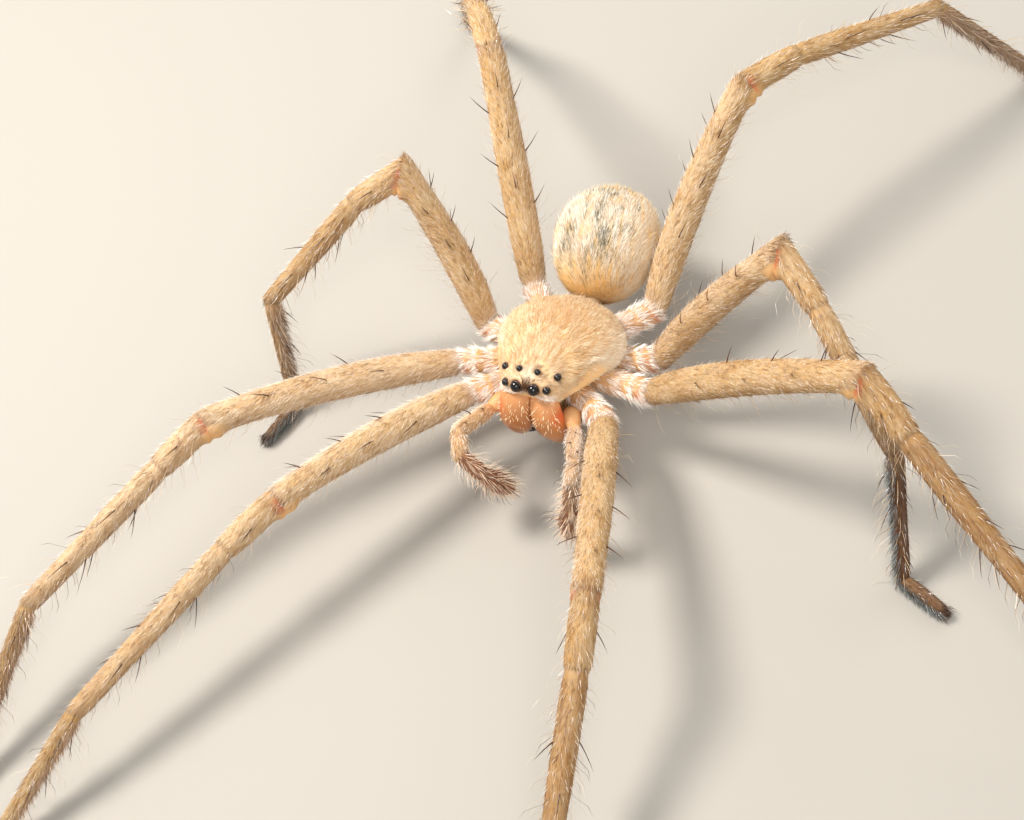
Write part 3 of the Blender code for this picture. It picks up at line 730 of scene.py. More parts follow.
def growHairs(name, form, look, chance, weight):
    # loose hairs of one look: material, slot, number, length, width, thickness, rise, and what sets it apart
    material, slot, count, length, width, thick, rise, more = look
    if isinstance(count, dict):     # one number for each side
        count = count[name[-1]]
    roots = rootsOn(form, count, chance, weight)
    length, rise = [chance.uniform(*value, count) if isinstance(value, tuple) else value
                    for value in (length, rise)]
    if "low" in more:               # shorter where the root is low: least height, share of it, and more
        least, share, added = more["low"]
        length = np.minimum(length, np.maximum(roots["spot"][:, 2], least) * share + added)
    hairObject(name, roots, material, length, width, thick, rise, chance, more.get("spread", 0.0),
               more.get("stray", 0.05), floor=more.get("floor"),
               shape=bristleShape if "bent" in more else furShape)


# Spikes: spines and claws, each a bent tapering cone

def crossing(way, steep=(1.0, 0, 0)):
    # two directions across a way: a level one and the one above it
    across = unit(np.cross(way, (0, 0, 1.0) if abs(way[2]) < 0.8 else steep))
    return across, unit(np.cross(across, way))


def spikeForm(root, way, bend, length, thick, rings=4, sides=6):
    # root and way are in the world; bend is a vector that the tip leans by
    across, upward = crossing(way)
    made = [(root, across, upward, 0.0, 0.0)]
    for step in np.linspace(0, 1, rings + 1):
        half = thick / 2 * (1 - step) ** 0.6 if step < 1 else 0.0
        made.append((root + way * length * step + bend * step ** 2, across, upward, half, half))
    return newForm(made, sides)


# Legs

legSkin = {
    "around": 28,
    "coatDepth": 0.07,
    "leanReach": 2.4,
    "thinnest": 0.25,
    "rings": {"coxa": 24, "femur": 38, "patella": 18, "tibia": 32, "metatarsus": 26, "tarsus": 16},
    # place along the part, half width, half height, before the coat's depth comes off
    "coxa": ((0.0, 0.5, 0.62), (0.3, 0.7, 0.82), (0.52, 0.88, 0.88), (0.6, 0.86, 0.86),
             (0.65, 0.74, 0.76), (0.7, 0.76, 0.78), (0.78, 0.82, 0.82), (0.9, 0.84, 0.84),
             (0.96, 0.8, 0.8), (1.0, 0.7, 0.7)),
    "femur": ((0.0, 0.68, 0.68), (0.012, 0.74, 0.74), (0.03, 0.83, 0.83), (0.08, 0.9, 0.9),
              (0.2, 0.99, 1.01), (0.4, 1.02, 1.04), (0.62, 0.98, 1.0), (0.82, 0.9, 0.92),
              (0.93, 0.89, 0.91), (0.972, 0.87, 0.89), (0.985, 0.82, 0.85), (1.0, 0.78, 0.82)),
    "patella": ((0.0, 0.76, 0.8), (0.05, 0.79, 0.83), (0.12, 0.82, 0.86), (0.3, 0.85, 0.88),
                (0.6, 0.85, 0.87), (0.85, 0.82, 0.82), (0.95, 0.78, 0.78), (1.0, 0.7, 0.7)),
    "tibia": ((0.0, 0.67, 0.67), (0.02, 0.7, 0.7), (0.05, 0.74, 0.74), (0.12, 0.76, 0.76),
              (0.35, 0.76, 0.76), (0.7, 0.67, 0.67), (0.93, 0.64, 0.64), (0.975, 0.62, 0.62),
              (1.0, 0.54, 0.54)),
    "metatarsus": ((0.0, 0.5, 0.5), (0.02, 0.53, 0.53), (0.08, 0.56, 0.56), (0.5, 0.5, 0.5),
                   (0.9, 0.48, 0.48), (0.97, 0.46, 0.46), (1.0, 0.4, 0.4)),
    "tarsus": ((0.0, 0.4, 0.4), (0.06, 0.45, 0.45), (0.3, 0.52, 0.48), (0.7, 0.5, 0.46), (0.92, 0.44, 0.42),
               (0.98, 0.3, 0.3), (1.0, 0.0, 0.0)),
}
partNames = ("coxa", "femur", "patella", "tibia", "metatarsus", "tarsus")
# how brown and grey the outer parts are, by leg; the L3 metatarsus is painted darker still, as painted
# shadow from another leg
legTone = {
    "metatarsus": {"L1": 0.2, "R1": 0.2, "L2": 0.4, "R2": 0.4, "L3": 1.0, "R3": 0.5, "L4": 0.45, "R4": 0.6},
    "tarsus": {1: 0.6, 2: 0.65, 3: 0.95, 4: 0.85},
}
# painted shade: how much darker the femur, and then the patella and tibia, are painted on each leg
legPaintedShade = {"L1": (0.12, 0.44), "L2": (0.14, 0.5), "L3": (0.06, 0.14), "L4": (0.08, 0.14), "R1": (0.0, 0.14),
            "R2": (0.0, 0.06), "R3": (0.0, 0.16), "R4": (0.06, 0.16)}
# painted light: how much whiter the whole leg and the femur's upper edge are painted, by leg
legPaintedLight = {"R1": (0.14, 0.6), "R2": (0.24, 0.9), "R3": (0.08, 0.2), "L3": (0.08, 0.2)}


def legLine(name):
    # joints and directions, and then mitre planes and outer sides
    points = legPoints(name)
    ways = [unit(b - a) for a, b in zip(points, points[1:])]
    points[0] = points[0] - ways[0] * legBuild["coxaInside"]
    upright = np.array([0, 0, 1.0])
    bend = ways[1] - ways[3]
    firstBacks = [unit(upright - ways[0] * (upright @ ways[0])), unit(bend - ways[1] * (bend @ ways[1]))]
    return points, ways, *chained(ways, firstBacks)


def legRings(line, scale):
    build = legSkin
    rings = []
    labels = []
    for index, part in enumerate(partNames):
        length = np.linalg.norm(line[0][index + 1] - line[0][index])
        swell = 1.0 if part == "coxa" else scale
        evenly = np.linspace(0, 1, build["rings"][part] + 1)
        places = (1 - np.cos(evenly * math.pi)) / 2 * 0.7 + evenly * 0.3
        halves = smoothSections(build[part], places) * swell - build["coatDepth"]
        halves = np.maximum(halves, 0.0 if part == "tarsus" else build["thinnest"])
        if part == "tarsus":
            halves[-1] = 0.0
        reach = min(build["leanReach"], length * 0.5)
        bow = legBuild["femurBow"] * length if part == "femur" else 0.0
        for place, ring in mitredRings(line, index, places, halves, reach, bow):
            rings.append(ring)
            labels.append((index, place, place * length, (1 - place) * length))
    return rings, np.array(labels)


legMarks = {
    "streaks": {"femur": 0.12, "shank": 0.35},
    "below": 0.25,           # painted shade on the undersides
    "knee": (0.25, 0.6),     # browner knees: strength and reach
    "jointRing": (0.25, 0.12),
    "spineSpot": (0.75, 0.2),
    "rootPale": {1: 0.08, 2: 0.08, 3: 0.08, 4: 0.4},
    "membraneBulge": 0.3,
    "folds": ((0.59, 0.016, 0.08), (0.78, 0.012, 0.05), (0.95, 0.014, 0.07)),     # place, width, height
}


def markLeg(form, labels, name):
    # white joints near the body, smooth yellow knee skin, brown joint marks and grey feet, with painted
    # shade and painted highlights
    number = int(name[1])
    part, place, fromStart, toEnd = [labels[:, column][:, None] for column in range(4)]
    coxa, femur, patella, tibia, metatarsus, tarsus = [part == index for index in range(6)]
    angle = form["angles"][None]
    below = within(-np.cos(angle))
    flank = np.abs(np.sin(angle))
    long = femur | patella | tibia
    rims = nearTo(place - 0.6, 0.035) + nearTo(place - 0.97, 0.03)      # white rims of the trochanter
    # painted highlight along the femur's upper edge, and painted light over the femur, patella and tibia of
    # the legs listed
    paintedLegLight, paintedEdgeLight = legPaintedLight.get(name, (0.0, 0.1))
    paintedLight = within(np.cos(angle + 0.7) * 2 - 0.8) * femur * paintedEdgeLight + long * paintedLegLight
    pale = coxa * (legMarks["rootPale"][number] + 0.7 * rims) + femur * 0.6 * nearTo(fromStart, 0.35) + paintedLight
    knee = femur * nearTo(toEnd, 0.72) + patella * nearTo(fromStart, 0.55)
    membrane = within(knee * within(below * 2.2 - 0.6) * 1.7)
    # painted shade on the undersides and on some legs as a whole, brown knees and joints, and streaks that
    # run along the outer parts
    streaks = within(np.sin(angle * 4 + fromStart * 0.5 + number) * np.sin(angle * 7 - fromStart * 0.8))
    # painted shade over each leg's femur, patella and tibia, strongest on the front left legs
    femurPaintedShade, shankPaintedShade = legPaintedShade[name]
    shankStreaks = legMarks["streaks"]["shank"] * streaks
    kneeBrown, kneeReach = legMarks["knee"]
    ringBrown, ringWidth = legMarks["jointRing"]
    # painted shade under the femur, patella and tibia
    brownAndShade = long * legMarks["below"] * within(below + 0.1)
    brownAndShade = brownAndShade + femur * (femurPaintedShade + legMarks["streaks"]["femur"] * streaks)
    brownAndShade = brownAndShade + (patella * 0.5 + tibia) * shankPaintedShade + (patella | tibia | metatarsus) * shankStreaks
    brownAndShade = brownAndShade + ringBrown * (femur | patella) * nearTo(toEnd, ringWidth)
    brownAndShade = brownAndShade + kneeBrown * (femur * nearTo(toEnd, kneeReach) + patella * nearTo(fromStart, kneeReach))
    spots = patella * nearTo(fromStart - 0.1, 0.22) * nearTo(flank - 0.95, 0.12)
    grey = legTone["metatarsus"][name] * (metatarsus * (1 - 0.35 * nearTo(fromStart, 0.8))
                                          + tibia * 0.6 * nearTo(toEnd, 1.4))
    grey = grey + tarsus * legTone["tarsus"][number]
    red = coxa * (0.08 + 0.8 * nearTo(place - 0.64, 0.022) * nearTo(flank - 0.95, 0.2)
                  + 0.7 * nearTo(place - 0.92, 0.02) * nearTo(flank - 0.9, 0.25)) + spots * 0.6
    setMarks(form, markPale=pale, markDark=spots * 0.4 + brownAndShade, markGrey=grey, markRed=red,
             markBare=membrane + coxa * 0.7, hairless=membrane * 3.0)
    # the knee's soft skin bulges, and the trochanter has folds
    outward = unit(form["points"] - form["centres"][:, None])
    raised = membrane * legMarks["membraneBulge"]
    for at, width, height in legMarks["folds"]:
        raised = raised + coxa * height * nearTo(place - at, width)
    form["points"] = form["points"] + outward * raised[:, :, None]
    form["points"][:, :, 2] = np.maximum(form["points"][:, :, 2], 0.03)


legCoat = {
    "hairs": {1: 26500, 2: 29000, 3: 22500, 4: 27500},
    "length": 0.44,
    "width": 0.062,
    "thick": 0.03,
    "rise": 0.08,
    "spread": 0.42,
    "clumps": (0.5, 0.4),    # how dark and how pale the clumps of hair are
    "shankLength": 0.4,      # smoother fur from the patella on
    "shankSpread": 0.18,
    "coxaLength": 0.42,      # white fringes about the leg roots
    "coxaRise": 0.24,
    "footLength": 0.28,
    "footRise": 0.16,
    "floor": 0.02,           # hairs stay over this height
}
legLoose = {
    # in the order of growHairs: white clumps on the leg's first joints, the brushes under the foot, the
    # tuft about the claws, short white hairs on the coat, long pale hairs and dark bristles
    "legTuft_": ("whiteHair", "coxa", 900, (0.28, 0.7), 0.06, 0.035, (0.12, 0.6), {"spread": 0.5}),
    "legBrush_": ("soleHair", "foot", 1500, 0.36, 0.06, 0.04, 0.85,
                  {"stray": 0.3, "floor": 0.012, "low": (0.05, 0.8, 0.12)}),
    "legClawTuft_": ("darkBristle", "foot", 90, 0.42, 0.05, 0.04, 0.5,
                     {"stray": 0.4, "floor": 0.012, "bent": True}),
    "legFrost_": ("whiteHair", "femur", 850, 0.4, 0.034, 0.028, (0.3, 0.9), {"stray": 0.0, "floor": 0.02}),
    "legLongHair_": ("longHair", "femur", 300, (0.5, 1.25), 0.032, 0.0272, (0.5, 1.4),
                     {"stray": 0.0, "floor": 0.02, "low": (0.0, 0.9, 0.2), "bent": True}),
    "legDarkHair_": ("darkBristle", "femur", 36, (0.6, 1.1), 0.045, 0.03825, (0.5, 1.4),
                     {"stray": 0.0, "floor": 0.02, "low": (0.0, 0.9, 0.2), "bent": True}),
}
spineRows = {
    # angle from the outer side (towards the front is positive), places along the part, lean, length
    1: ((0, (0.42, 0.63, 0.84), 48, 1.2), (72, (0.34, 0.56, 0.78), 50, 1.6),
        (-72, (0.3, 0.52, 0.74), 50, 1.6)),
    2: ((82, (0.45,), 34, 1.2), (-82, (0.5,), 34, 1.2)),
    3: ((0, (0.5,), 36, 1.2), (80, (0.28, 0.66), 40, 1.6), (-80, (0.3, 0.68), 40, 1.6),
        (150, (0.2, 0.55), 38, 1.7), (-150, (0.24, 0.6), 38, 1.7)),
    4: ((85, (0.12, 0.42, 0.8), 34, 1.5), (-85, (0.14, 0.45, 0.82), 34, 1.5),
        (150, (0.08, 0.36), 34, 1.5), (-150, (0.09, 0.38), 34, 1.5)),
}
spineLook = {
    "thick": 0.085,
    "sink": 0.15,
    "lengths": (0.88, 1.1),     # share of the row's length
    "turnStray": 0.08,
    "leanStray": 5,             # degrees
    "bend": (0.14, 0.05),       # towards the leg's end and back to the leg
    "overFloor": 0.15,
    "shortest": 0.5,
}
clawLook = {"apart": 0.26, "up": 0.12, "back": 0.25, "rise": 0.35, "bend": (0.05, 0.22), "length": 0.62,
            "thick": 0.13}


def legSpines(line, scale, name, chance):
    look = spineLook
    bendOn, bendIn = look["bend"]
    points, ways, _, backs = line
    frontSide = 1 if name[0] == "L" else -1
    made = []
    roots = []
    for part, rows in spineRows.items():
        axis, back = ways[part], backs[part]
        start, end = points[part], points[part + 1]
        side = np.cross(back, axis) * frontSide
        bow = legBuild["femurBow"] * np.linalg.norm(end - start) if part == 1 else 0.0
        table = np.array(legSkin[partNames[part]])
        for angle, places, lean, length in rows:
            for place in places:
                turn = math.radians(angle) + chance.normal(0, look["turnStray"])
                out = back * math.cos(turn) + side * math.sin(turn)
                reach = np.interp(place, table[:, 0], table[:, 1]) * scale - legSkin["coatDepth"]
                rise = math.radians(lean + chance.normal(0, look["leanStray"]))
                way = axis * math.cos(rise) + out * math.sin(rise)
                centre = start + (end - start) * place + back * bow * 4 * place * (1 - place)
                root = centre + out * (reach - look["sink"])
                long = length * chance.uniform(*look["lengths"]) + look["sink"]
                if way[2] < 0:
                    long = min(long, (root[2] - look["overFloor"]) / -way[2])
                if long > look["shortest"]:
                    bend = axis * bendOn * long - out * bendIn * long
                    made.append(spikeForm(root, way, bend, long, look["thick"]))
                    roots.append(centre + out * reach)
    return made, roots


def legClaws(line):
    # two hooked claws above the pad of each foot
    look = clawLook
    points, ways, _, backs = line
    axis, back = ways[5], backs[5]
    side = np.cross(back, axis)
    bendOn, bendDown = look["bend"]
    way, bend = unit(axis + back * look["rise"]), axis * bendOn - back * bendDown
    forms = []
    for sideways in (-look["apart"] / 2, look["apart"] / 2):
        root = points[6] + side * sideways + back * look["up"] - axis * look["back"]
        forms.append(spikeForm(root, way, bend, look["length"], look["thick"], rings=5))
    return forms


def makeLeg(name):
    number = int(name[1])
    chance = np.random.default_rng(100 + number + (10 if name[0] == "R" else 0))
    scale = legBuild["thickness"][number]
    line = legLine(name)
    rings, labels = legRings(line, scale)
    form = newForm(rings, legSkin["around"])
    markLeg(form, labels, name)
    spikeForms, roots = legSpines(line, scale, name, chance)
    spotBrown, spotWidth = legMarks["spineSpot"]
    for root in roots:      # a brown spot round each spine
        away = np.linalg.norm(form["points"] - root, axis=2)
        form["markDark"] = np.maximum(form["markDark"], spotBrown * nearTo(away, spotWidth))
    skin = skinObject("legSkin_" + name, [form], "legSkin")
    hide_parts(*[f"{part}_{name}" for part in ("coxa", "femur", "patella", "tibia", "foot")])
    part, place = labels[:, 0][:, None], labels[:, 1][:, None]
    form["hairless"][(labels[:, 0] == 0) & (labels[:, 2] < legBuild["coxaInside"] * 0.8)] = 1
    legFur(name, form, part, place, chance)
    legLooseHairs(name, form, part, place, chance)
    return spikeForms, legClaws(line)


def partOf(roots, part):
    return part[np.minimum(roots["row"].astype(int), len(part) - 1), 0]


def legFur(name, form, part, place, chance):
    build = legCoat
    number = int(name[1])
    points = form["points"]
    bunch = 0.5 + 0.5 * np.sin(points @ [5.3, 3.1, 4.2]) * np.sin(points @ [-3.7, 4.9, 2.2])
    rims = nearTo(place - 0.58, 0.06) + nearTo(place - 0.95, 0.05)
    cover = 0.12 + 0.7 * rims + 0.4 * bunch * np.abs(np.sin(form["angles"]))[None]
    roots = rootsOn(form, build["hairs"][number], chance, np.where(part == 0, cover, 1.0))
    clumped(roots, 4.5, 0.45, number, "markDark", build["clumps"])
    rowPart = partOf(roots, part)
    coxa, shank = rowPart == 0, rowPart >= 2
    length = np.where(shank, build["shankLength"], build["length"])
    length = np.where(coxa, build["coxaLength"], np.where(rowPart == 5, build["footLength"], length))
    rise = np.where(coxa, build["coxaRise"], np.where(rowPart >= 4, build["footRise"], build["rise"]))
    spread = np.where(shank, build["shankSpread"], build["spread"])
    hairObject("legCoat_" + name, roots, "legCoat", length, build["width"], build["thick"], rise,
               chance, spread=spread, floor=build["floor"])


def legLooseHairs(name, form, part, place, chance):
    bunch = np.sin(form["points"] @ [6.1, 3.7, 4.9]) + np.sin(form["points"] @ [-4.3, 6.7, 3.1])
    rims = nearTo(place - 0.585, 0.022) + nearTo(place - 0.77, 0.014) + nearTo(place - 0.945, 0.02)
    under = -np.cos(form["angles"][None])
    outline = 0.6 * (part == 1) + 1.0 * (part == 2) + 1.2 * (part == 3) + 1.4 * (part == 4)
    outline = outline * (1.2 + under)
    weights = {
        "legTuft_": (part == 0) * (0.8 * np.clip(bunch, 0, 2) ** 2 + 3.0 * rims),
        "legBrush_": ((part == 4) * 0.9 + (part == 5) * 1.3) * np.clip(0.3 + under, 0, 0.8),
        "legClawTuft_": (part == 5) * nearTo(place - 0.93, 0.07),
        "legFrost_": (part == 1) + 0.45 * (part >= 2),
        "legLongHair_": outline,
        "legDarkHair_": outline * (part >= 3),
    }
    for title, look in legLoose.items():
        growHairs(title + name, form, look, chance, weights[title])


spikes = []
claws = []
for legName in legBuild["pose"]:
    legSpikes, legHooks = makeLeg(legName)
    spikes += legSpikes
    claws += legHooks
print("legs are made, with spines:", len(spikes))


# Carapace

carapace = {
    # forward, half width, edge height, top height
    "stations": (
        (4.16, 0.0, 2.2, 2.3), (4.12, 1.1, 1.95, 2.7), (4.02, 1.45, 1.85, 2.85), (3.82, 1.86, 1.62, 3.02),
        (3.3, 2.2, 1.48, 3.2), (2.4, 2.7, 1.3, 3.34), (1.2, 3.36, 1.15, 3.44), (0.0, 3.83, 1.1, 3.42),
        (-1.2, 3.92, 1.1, 3.24), (-2.2, 3.47, 1.15, 2.88), (-3.05, 2.6, 1.28, 2.36), (-3.52, 1.6, 1.42, 2.0),
        (-3.69, 0.9, 1.5, 1.82), (-3.73, 0.0, 1.6, 1.7),
    ),
    "rings": 76,
    "around": 72,
    "belly": 0.22,
    "coatDepth": 0.07,
    "rimLip": 0.09,
    # the raised fold that parts the furry shield from the head's smooth side wall: forward, left
    "fold": ((-3.2, 3.2), (-1.7, 3.72), (-0.5, 4.0), (0.2, 3.75), (0.9, 3.0), (1.5, 2.55), (2.6, 2.3),
             (3.6, 1.95)),
    "groove": 0.16,
    "furrow": 0.05,
    "hairs": 33000,
    "length": 0.46,
    "width": 0.062,
    "clumps": (0.5, 0.3),
    # dark hairs amid the front eyes and a white line under them, in the order of growHairs
    "eyeHairDark": ("darkBristle", "carapace", 150, 0.17, 0.045, 0.035, 0.35, {"stray": 0.1, "bent": True}),
    "eyeHairPale": ("paleBristle", "carapace", 360, 0.34, 0.055, 0.045, 0.3, {"bent": True}),
}
eyeNames = ("front_middle", "front_side", "rear_middle", "rear_side")


def eyePlaces():
    # centres and radii of the eight eyes, from the frame
    found = {}
    for name in [f"{eye}_{side}" for eye in eyeNames for side in "LR"]:
        low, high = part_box("eye_" + name)
        found[name] = (np.array((low + high) / 2) / millimetre - shift, max(high - low) / millimetre / 2)
    return found


eyes = eyePlaces()


def carapaceForm():
    build = carapace
    found = denser(build["stations"], build["rings"], 3)
    ahead, halfWidth, edge, top = [column[:, None] for column in found.T]
    angles = np.linspace(0, 2 * math.pi, build["around"] + 1)
    over = np.cos(angles)[None]
    depth = build["coatDepth"] * np.minimum(1, halfWidth / 0.6)
    forward = ahead + 0 * over
    left = (halfWidth - depth) * np.sin(angles)[None]
    rise = top - depth - edge
    up = edge + over * np.where(over > 0, rise, rise * build["belly"])
    # a low groove behind the middle, and furrows that part the head from the thorax
    groove = build["groove"] * nearTo(forward + 1.1, 0.75) * nearTo(left, 0.12)
    middle = within((forward + 0.9) / 1.5) * within((3.2 - forward) / 1.2)
    furrow = build["furrow"] * nearTo(np.abs(left) - (forward + 0.9) * 0.62, 0.5) * middle
    up = up - (groove + furrow) * (over > 0.1)
    # the rim is a narrow raised fold
    lip = build["rimLip"] * nearTo(np.abs(over) - 0.06, 0.07)
    left = left * (1 + lip / np.maximum(halfWidth, 0.8))
    local = np.stack([forward, left, up], 2)
    centres = np.stack([found[:, 0], 0 * found[:, 0], found[:, 2]], 1)
    raised = [0, 0, stance["height"]]
    form = sheetForm(local @ bodyTurn.T + raised, centres @ bodyTurn.T + raised, angles)
    form["local"] = local
    return form


def betweenEyes():
    return (eyes["front_middle_L"][0] + eyes["front_middle_R"][0]) / 2


def markCarapace(form):
    forward, left, up = [form["local"][:, :, index] for index in range(3)]
    top = np.cos(form["angles"])[None]
    fold = np.array(carapace["fold"])
    foldLeft = np.interp(forward, fold[:, 0], fold[:, 1])
    outside = np.abs(left) - foldLeft + 0.25 * (1 - within((up - 1.1) / 1.2))
    wall = within(outside / 0.22) * within((forward - 0.5) / 0.5)
    crest = nearTo(np.abs(left) - foldLeft + 0.1, 0.16) * within((forward + 2.5) / 1.5)
    crest = crest * within((1.9 - forward) / 0.8) * (top > 0)
    face = within((forward - 2.4) / 1.4) * (0.65 + 0.35 * nearTo(np.abs(left) - 1.25, 0.35))
    blaze = nearTo(forward - 3.5, 0.4) * nearTo(left - 0.05, 0.28)      # a white patch amid the eyes
    face = face * np.exp(-(left / 1.75) ** 4)
    # a paler rear rim, and painted light along the left side
    rearPaleAndPaintedLeftLight = 0.4 * within((-forward - 2.2) / 1.0) + 0.6 * within((left - 2.5) / 1.0)
    rightRim = within((-left - 2.5) / 1.0) * nearTo(forward - 0.4, 1.6)
    under = within(-top * 3 - 0.4)
    pale = 0.5 * face + 0.75 * crest + blaze + 0.7 * rightRim + rearPaleAndPaintedLeftLight
    setMarks(form, markPale=within(pale) * (top > -0.3),
             markGrey=0.5 * nearTo(forward + 1.1, 0.9) * nearTo(left, 0.9),
             markDark=0.25 * nearTo(forward + 1.1, 0.6) * nearTo(left, 0.12),
             markBare=under + 0.85 * wall, hairless=under * 1.5 + 0.93 * wall)
    outward = unit(form["points"] - form["centres"][:, None])
    form["points"] = form["points"] + outward * (0.05 * crest - 0.05 * wall)[:, :, None]
    for centre, radius in eyes.values():
        away = np.linalg.norm(form["points"] - centre, axis=2)
        form["points"] = form["points"] + outward * (0.1 * nearTo(away - radius * 1.15, 0.16))[:, :, None]
        form["hairless"] = np.maximum(form["hairless"], away < radius * 1.22)
        form["markDark"] = np.maximum(form["markDark"], 0.75 * nearTo(away - radius, 0.08))
    amid = np.linalg.norm(form["points"] - betweenEyes(), axis=2)
    form["markDark"] = np.maximum(form["markDark"], 0.9 * np.exp(-(amid / 0.42) ** 4))


def makeCarapace():
    chance = np.random.default_rng(7)
    build = carapace
    form = carapaceForm()
    markCarapace(form)
    skin = skinObject("carapaceSkin", [form, bodyDrum()], "carapaceSkin")
    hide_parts("carapace")
    forward = form["local"][:, :, 0]
    roots = rootsOn(form, build["hairs"], chance, 1 + 0.6 * within((forward - 2.0) / 1.5))
    clumped(roots, 14.0, 0.25, 1, "markGrey", build["clumps"])
    spot = (roots["spot"] - [0, 0, stance["height"]]) @ bodyTurn
    face = within((spot[:, 0] - 2.2) / 1.2)
    hairObject("carapaceCoat", roots, "carapaceCoat", build["length"] * (1 - 0.45 * face),
               build["width"] * (1 - 0.2 * face), 0.026, 0.1 + 0.1 * face, chance, spread=1.1, stray=0.02)
    left, up = form["local"][:, :, 1], form["local"][:, :, 2]
    away = np.linalg.norm(form["points"] - betweenEyes(), axis=2)
    growHairs("eyeHairDark", form, build["eyeHairDark"], chance, nearTo(away, 0.32))
    line = nearTo(up - 2.02, 0.16) * (forward > 3.7) * (np.abs(left) < 1.45)
    growHairs("eyeHairPale", form, build["eyeHairPale"], chance, line)


drum = {"centre": -0.1, "halfLength": 2.35, "halfWidth": 2.2, "from": -0.85, "to": 1.75,
        "rings": 20, "around": 48, "rounding": 0.14, "folds": 0.05}


def stackForm(build):
    # level rings from one height to another, rounded at both ends
    forward, left = bodyTurn[:, 0], bodyTurn[:, 1]
    made = []
    for step in np.linspace(0, 1, build["rings"] + 1):
        nearEnd = 0.5 * min(step, 1 - step) / build["rounding"]
        size = math.sin(math.pi * min(0.5, nearEnd)) if 0 < step < 1 else 0.0
        size = size * (1 + build["folds"] * math.sin(step * 22))
        level = build["from"] + (build["to"] - build["from"]) * step
        made.append((onBody((build["centre"], 0, level)), left, forward, build["halfWidth"] * size,
                     build["halfLength"] * size))
    return newForm(made, build["around"])


def bodyDrum():
    # soft skin between the leg roots, under the carapace
    form = stackForm(drum)
    setMarks(form, markBare=0.7, markPale=0.3)
    return form


makeCarapace()
print("carapace is made")


# Eyes, each with its dark rim

# how large the lens is in the frame's eye
eyeShare = {"front_middle": 0.98, "front_side": 0.88, "rear_middle": 0.82, "rear_side": 0.82}
# shares of the lens's radius
eyeRim = {"out": 0.97, "sink": 0.12, "width": 0.14, "height": 0.3, "steps": 32, "around": 10}


def ballObject(name, balls, material):
    whole = bmesh.new()
    whole.loops.layers.uv.new("OFBake")
    for centre, radius in balls:
        place = Matrix.Translation(Vector((centre + shift) * millimetre))
        bmesh.ops.create_uvsphere(whole, u_segments=36, v_segments=24, radius=radius * millimetre,
                                  matrix=place, calc_uvs=True)
    return smoothObject(name, whole, material)


def rimForm(centre, radius, outward):
    # a narrow ring of dark horn where the eye leaves the skin
    look = eyeRim
    across, upward = crossing(outward)
    rings = []
    for angle in np.linspace(0, 2 * math.pi, look["steps"] + 1):
        spoke = across * math.cos(angle) + upward * math.sin(angle)
        middle = centre + spoke * radius * look["out"] - outward * radius * look["sink"]
        rings.append((middle, spoke, outward, radius * look["width"], radius * look["height"]))
    return newForm(rings, look["around"])


def makeEyes():
    bodyMiddle = onBody((1.5, 0, 1.6))
    rims = []
    for name, (centre, radius) in eyes.items():
        ball = ballObject("eye_" + name + "_lens", [(centre, radius * eyeShare[name[:-2]])], "eye")
        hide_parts("eye_" + name)
        rims.append(rimForm(centre, radius * eyeShare[name[:-2]], unit(centre - bodyMiddle)))
    skinObject("eyeRims", rims, "eyeRim")


makeEyes()
print("eyes are made")


# Jaws

jaw = {
    # forward, outward, up, half width, half depth
    "stations": (
        (3.72, 0.98, 1.9, 0.0, 0.0), (3.76, 1.0, 1.8, 0.7, 0.3), (3.94, 1.04, 1.4, 0.84, 0.52),
        (4.06, 1.06, 1.05, 0.88, 0.62), (4.2, 1.09, 0.6, 0.95, 0.7), (4.3, 1.11, -0.1, 1.02, 0.7),
        (4.28, 1.14, -0.7, 1.0, 0.68), (4.14, 1.19, -1.3, 0.87, 0.61), (4.02, 1.24, -1.75, 0.66, 0.48),
        (3.96, 1.27, -2.0, 0.42, 0.34), (3.94, 1.28, -2.1, 0.0, 0.0),
    ),
    "rings": 44,
    "around": 40,
    "gap": 0.015,
    "bristles": ("goldBristle", "chelicera", 62, (0.1, 0.22), 0.045, 0.04, (0.5, 1.5),
                 {"spread": 0.5, "bent": True}),
    "down": ("palpCoat", "chelicera", 120, 0.16, 0.03, 0.02, 0.1, {"spread": 0.3}),
    # forward, outward, up, half width
    "fang": ((3.75, 1.6, -1.9, 0.24), (3.7, 1.55, -2.3, 0.22), (3.6, 1.2, -2.46, 0.19),
             (3.5, 0.8, -2.5, 0.14), (3.4, 0.42, -2.42, 0.05), (3.38, 0.36, -2.4, 0.0)),
    "fangRings": 24,
    "fangAround": 18,
}


def stationForm(stations, side, around, rings):
    # a form down a row of body stations, whose rings stay level
    found = denser([mirrored(station, side) for station in stations], rings)
    forward, left = bodyTurn[:, 0], bodyTurn[:, 1]
    form = newForm([(onBody(row[:3]), left, forward, row[3], row[4]) for row in found], around)
    form["stations"] = found
    return form


def lineForm(points, halves, around, flat=1.0):
    # a form along a bent line of world points
    points = np.array(points)
    made = []
    for index, point in enumerate(points):
        way = unit(points[min(index + 1, len(points) - 1)] - points[max(index - 1, 0)])
        made.append((point, *crossing(way, (0, 1.0, 0)), halves[index], halves[index] * flat))
    return newForm(made, around)


def bodyLineForm(stations, side, rings, around, flat=1.0):
    rows = denser([mirrored(station, side) for station in stations], rings)
    return lineForm([onBody(row[:3]) for row in rows], rows[:, 3], around, flat), rows


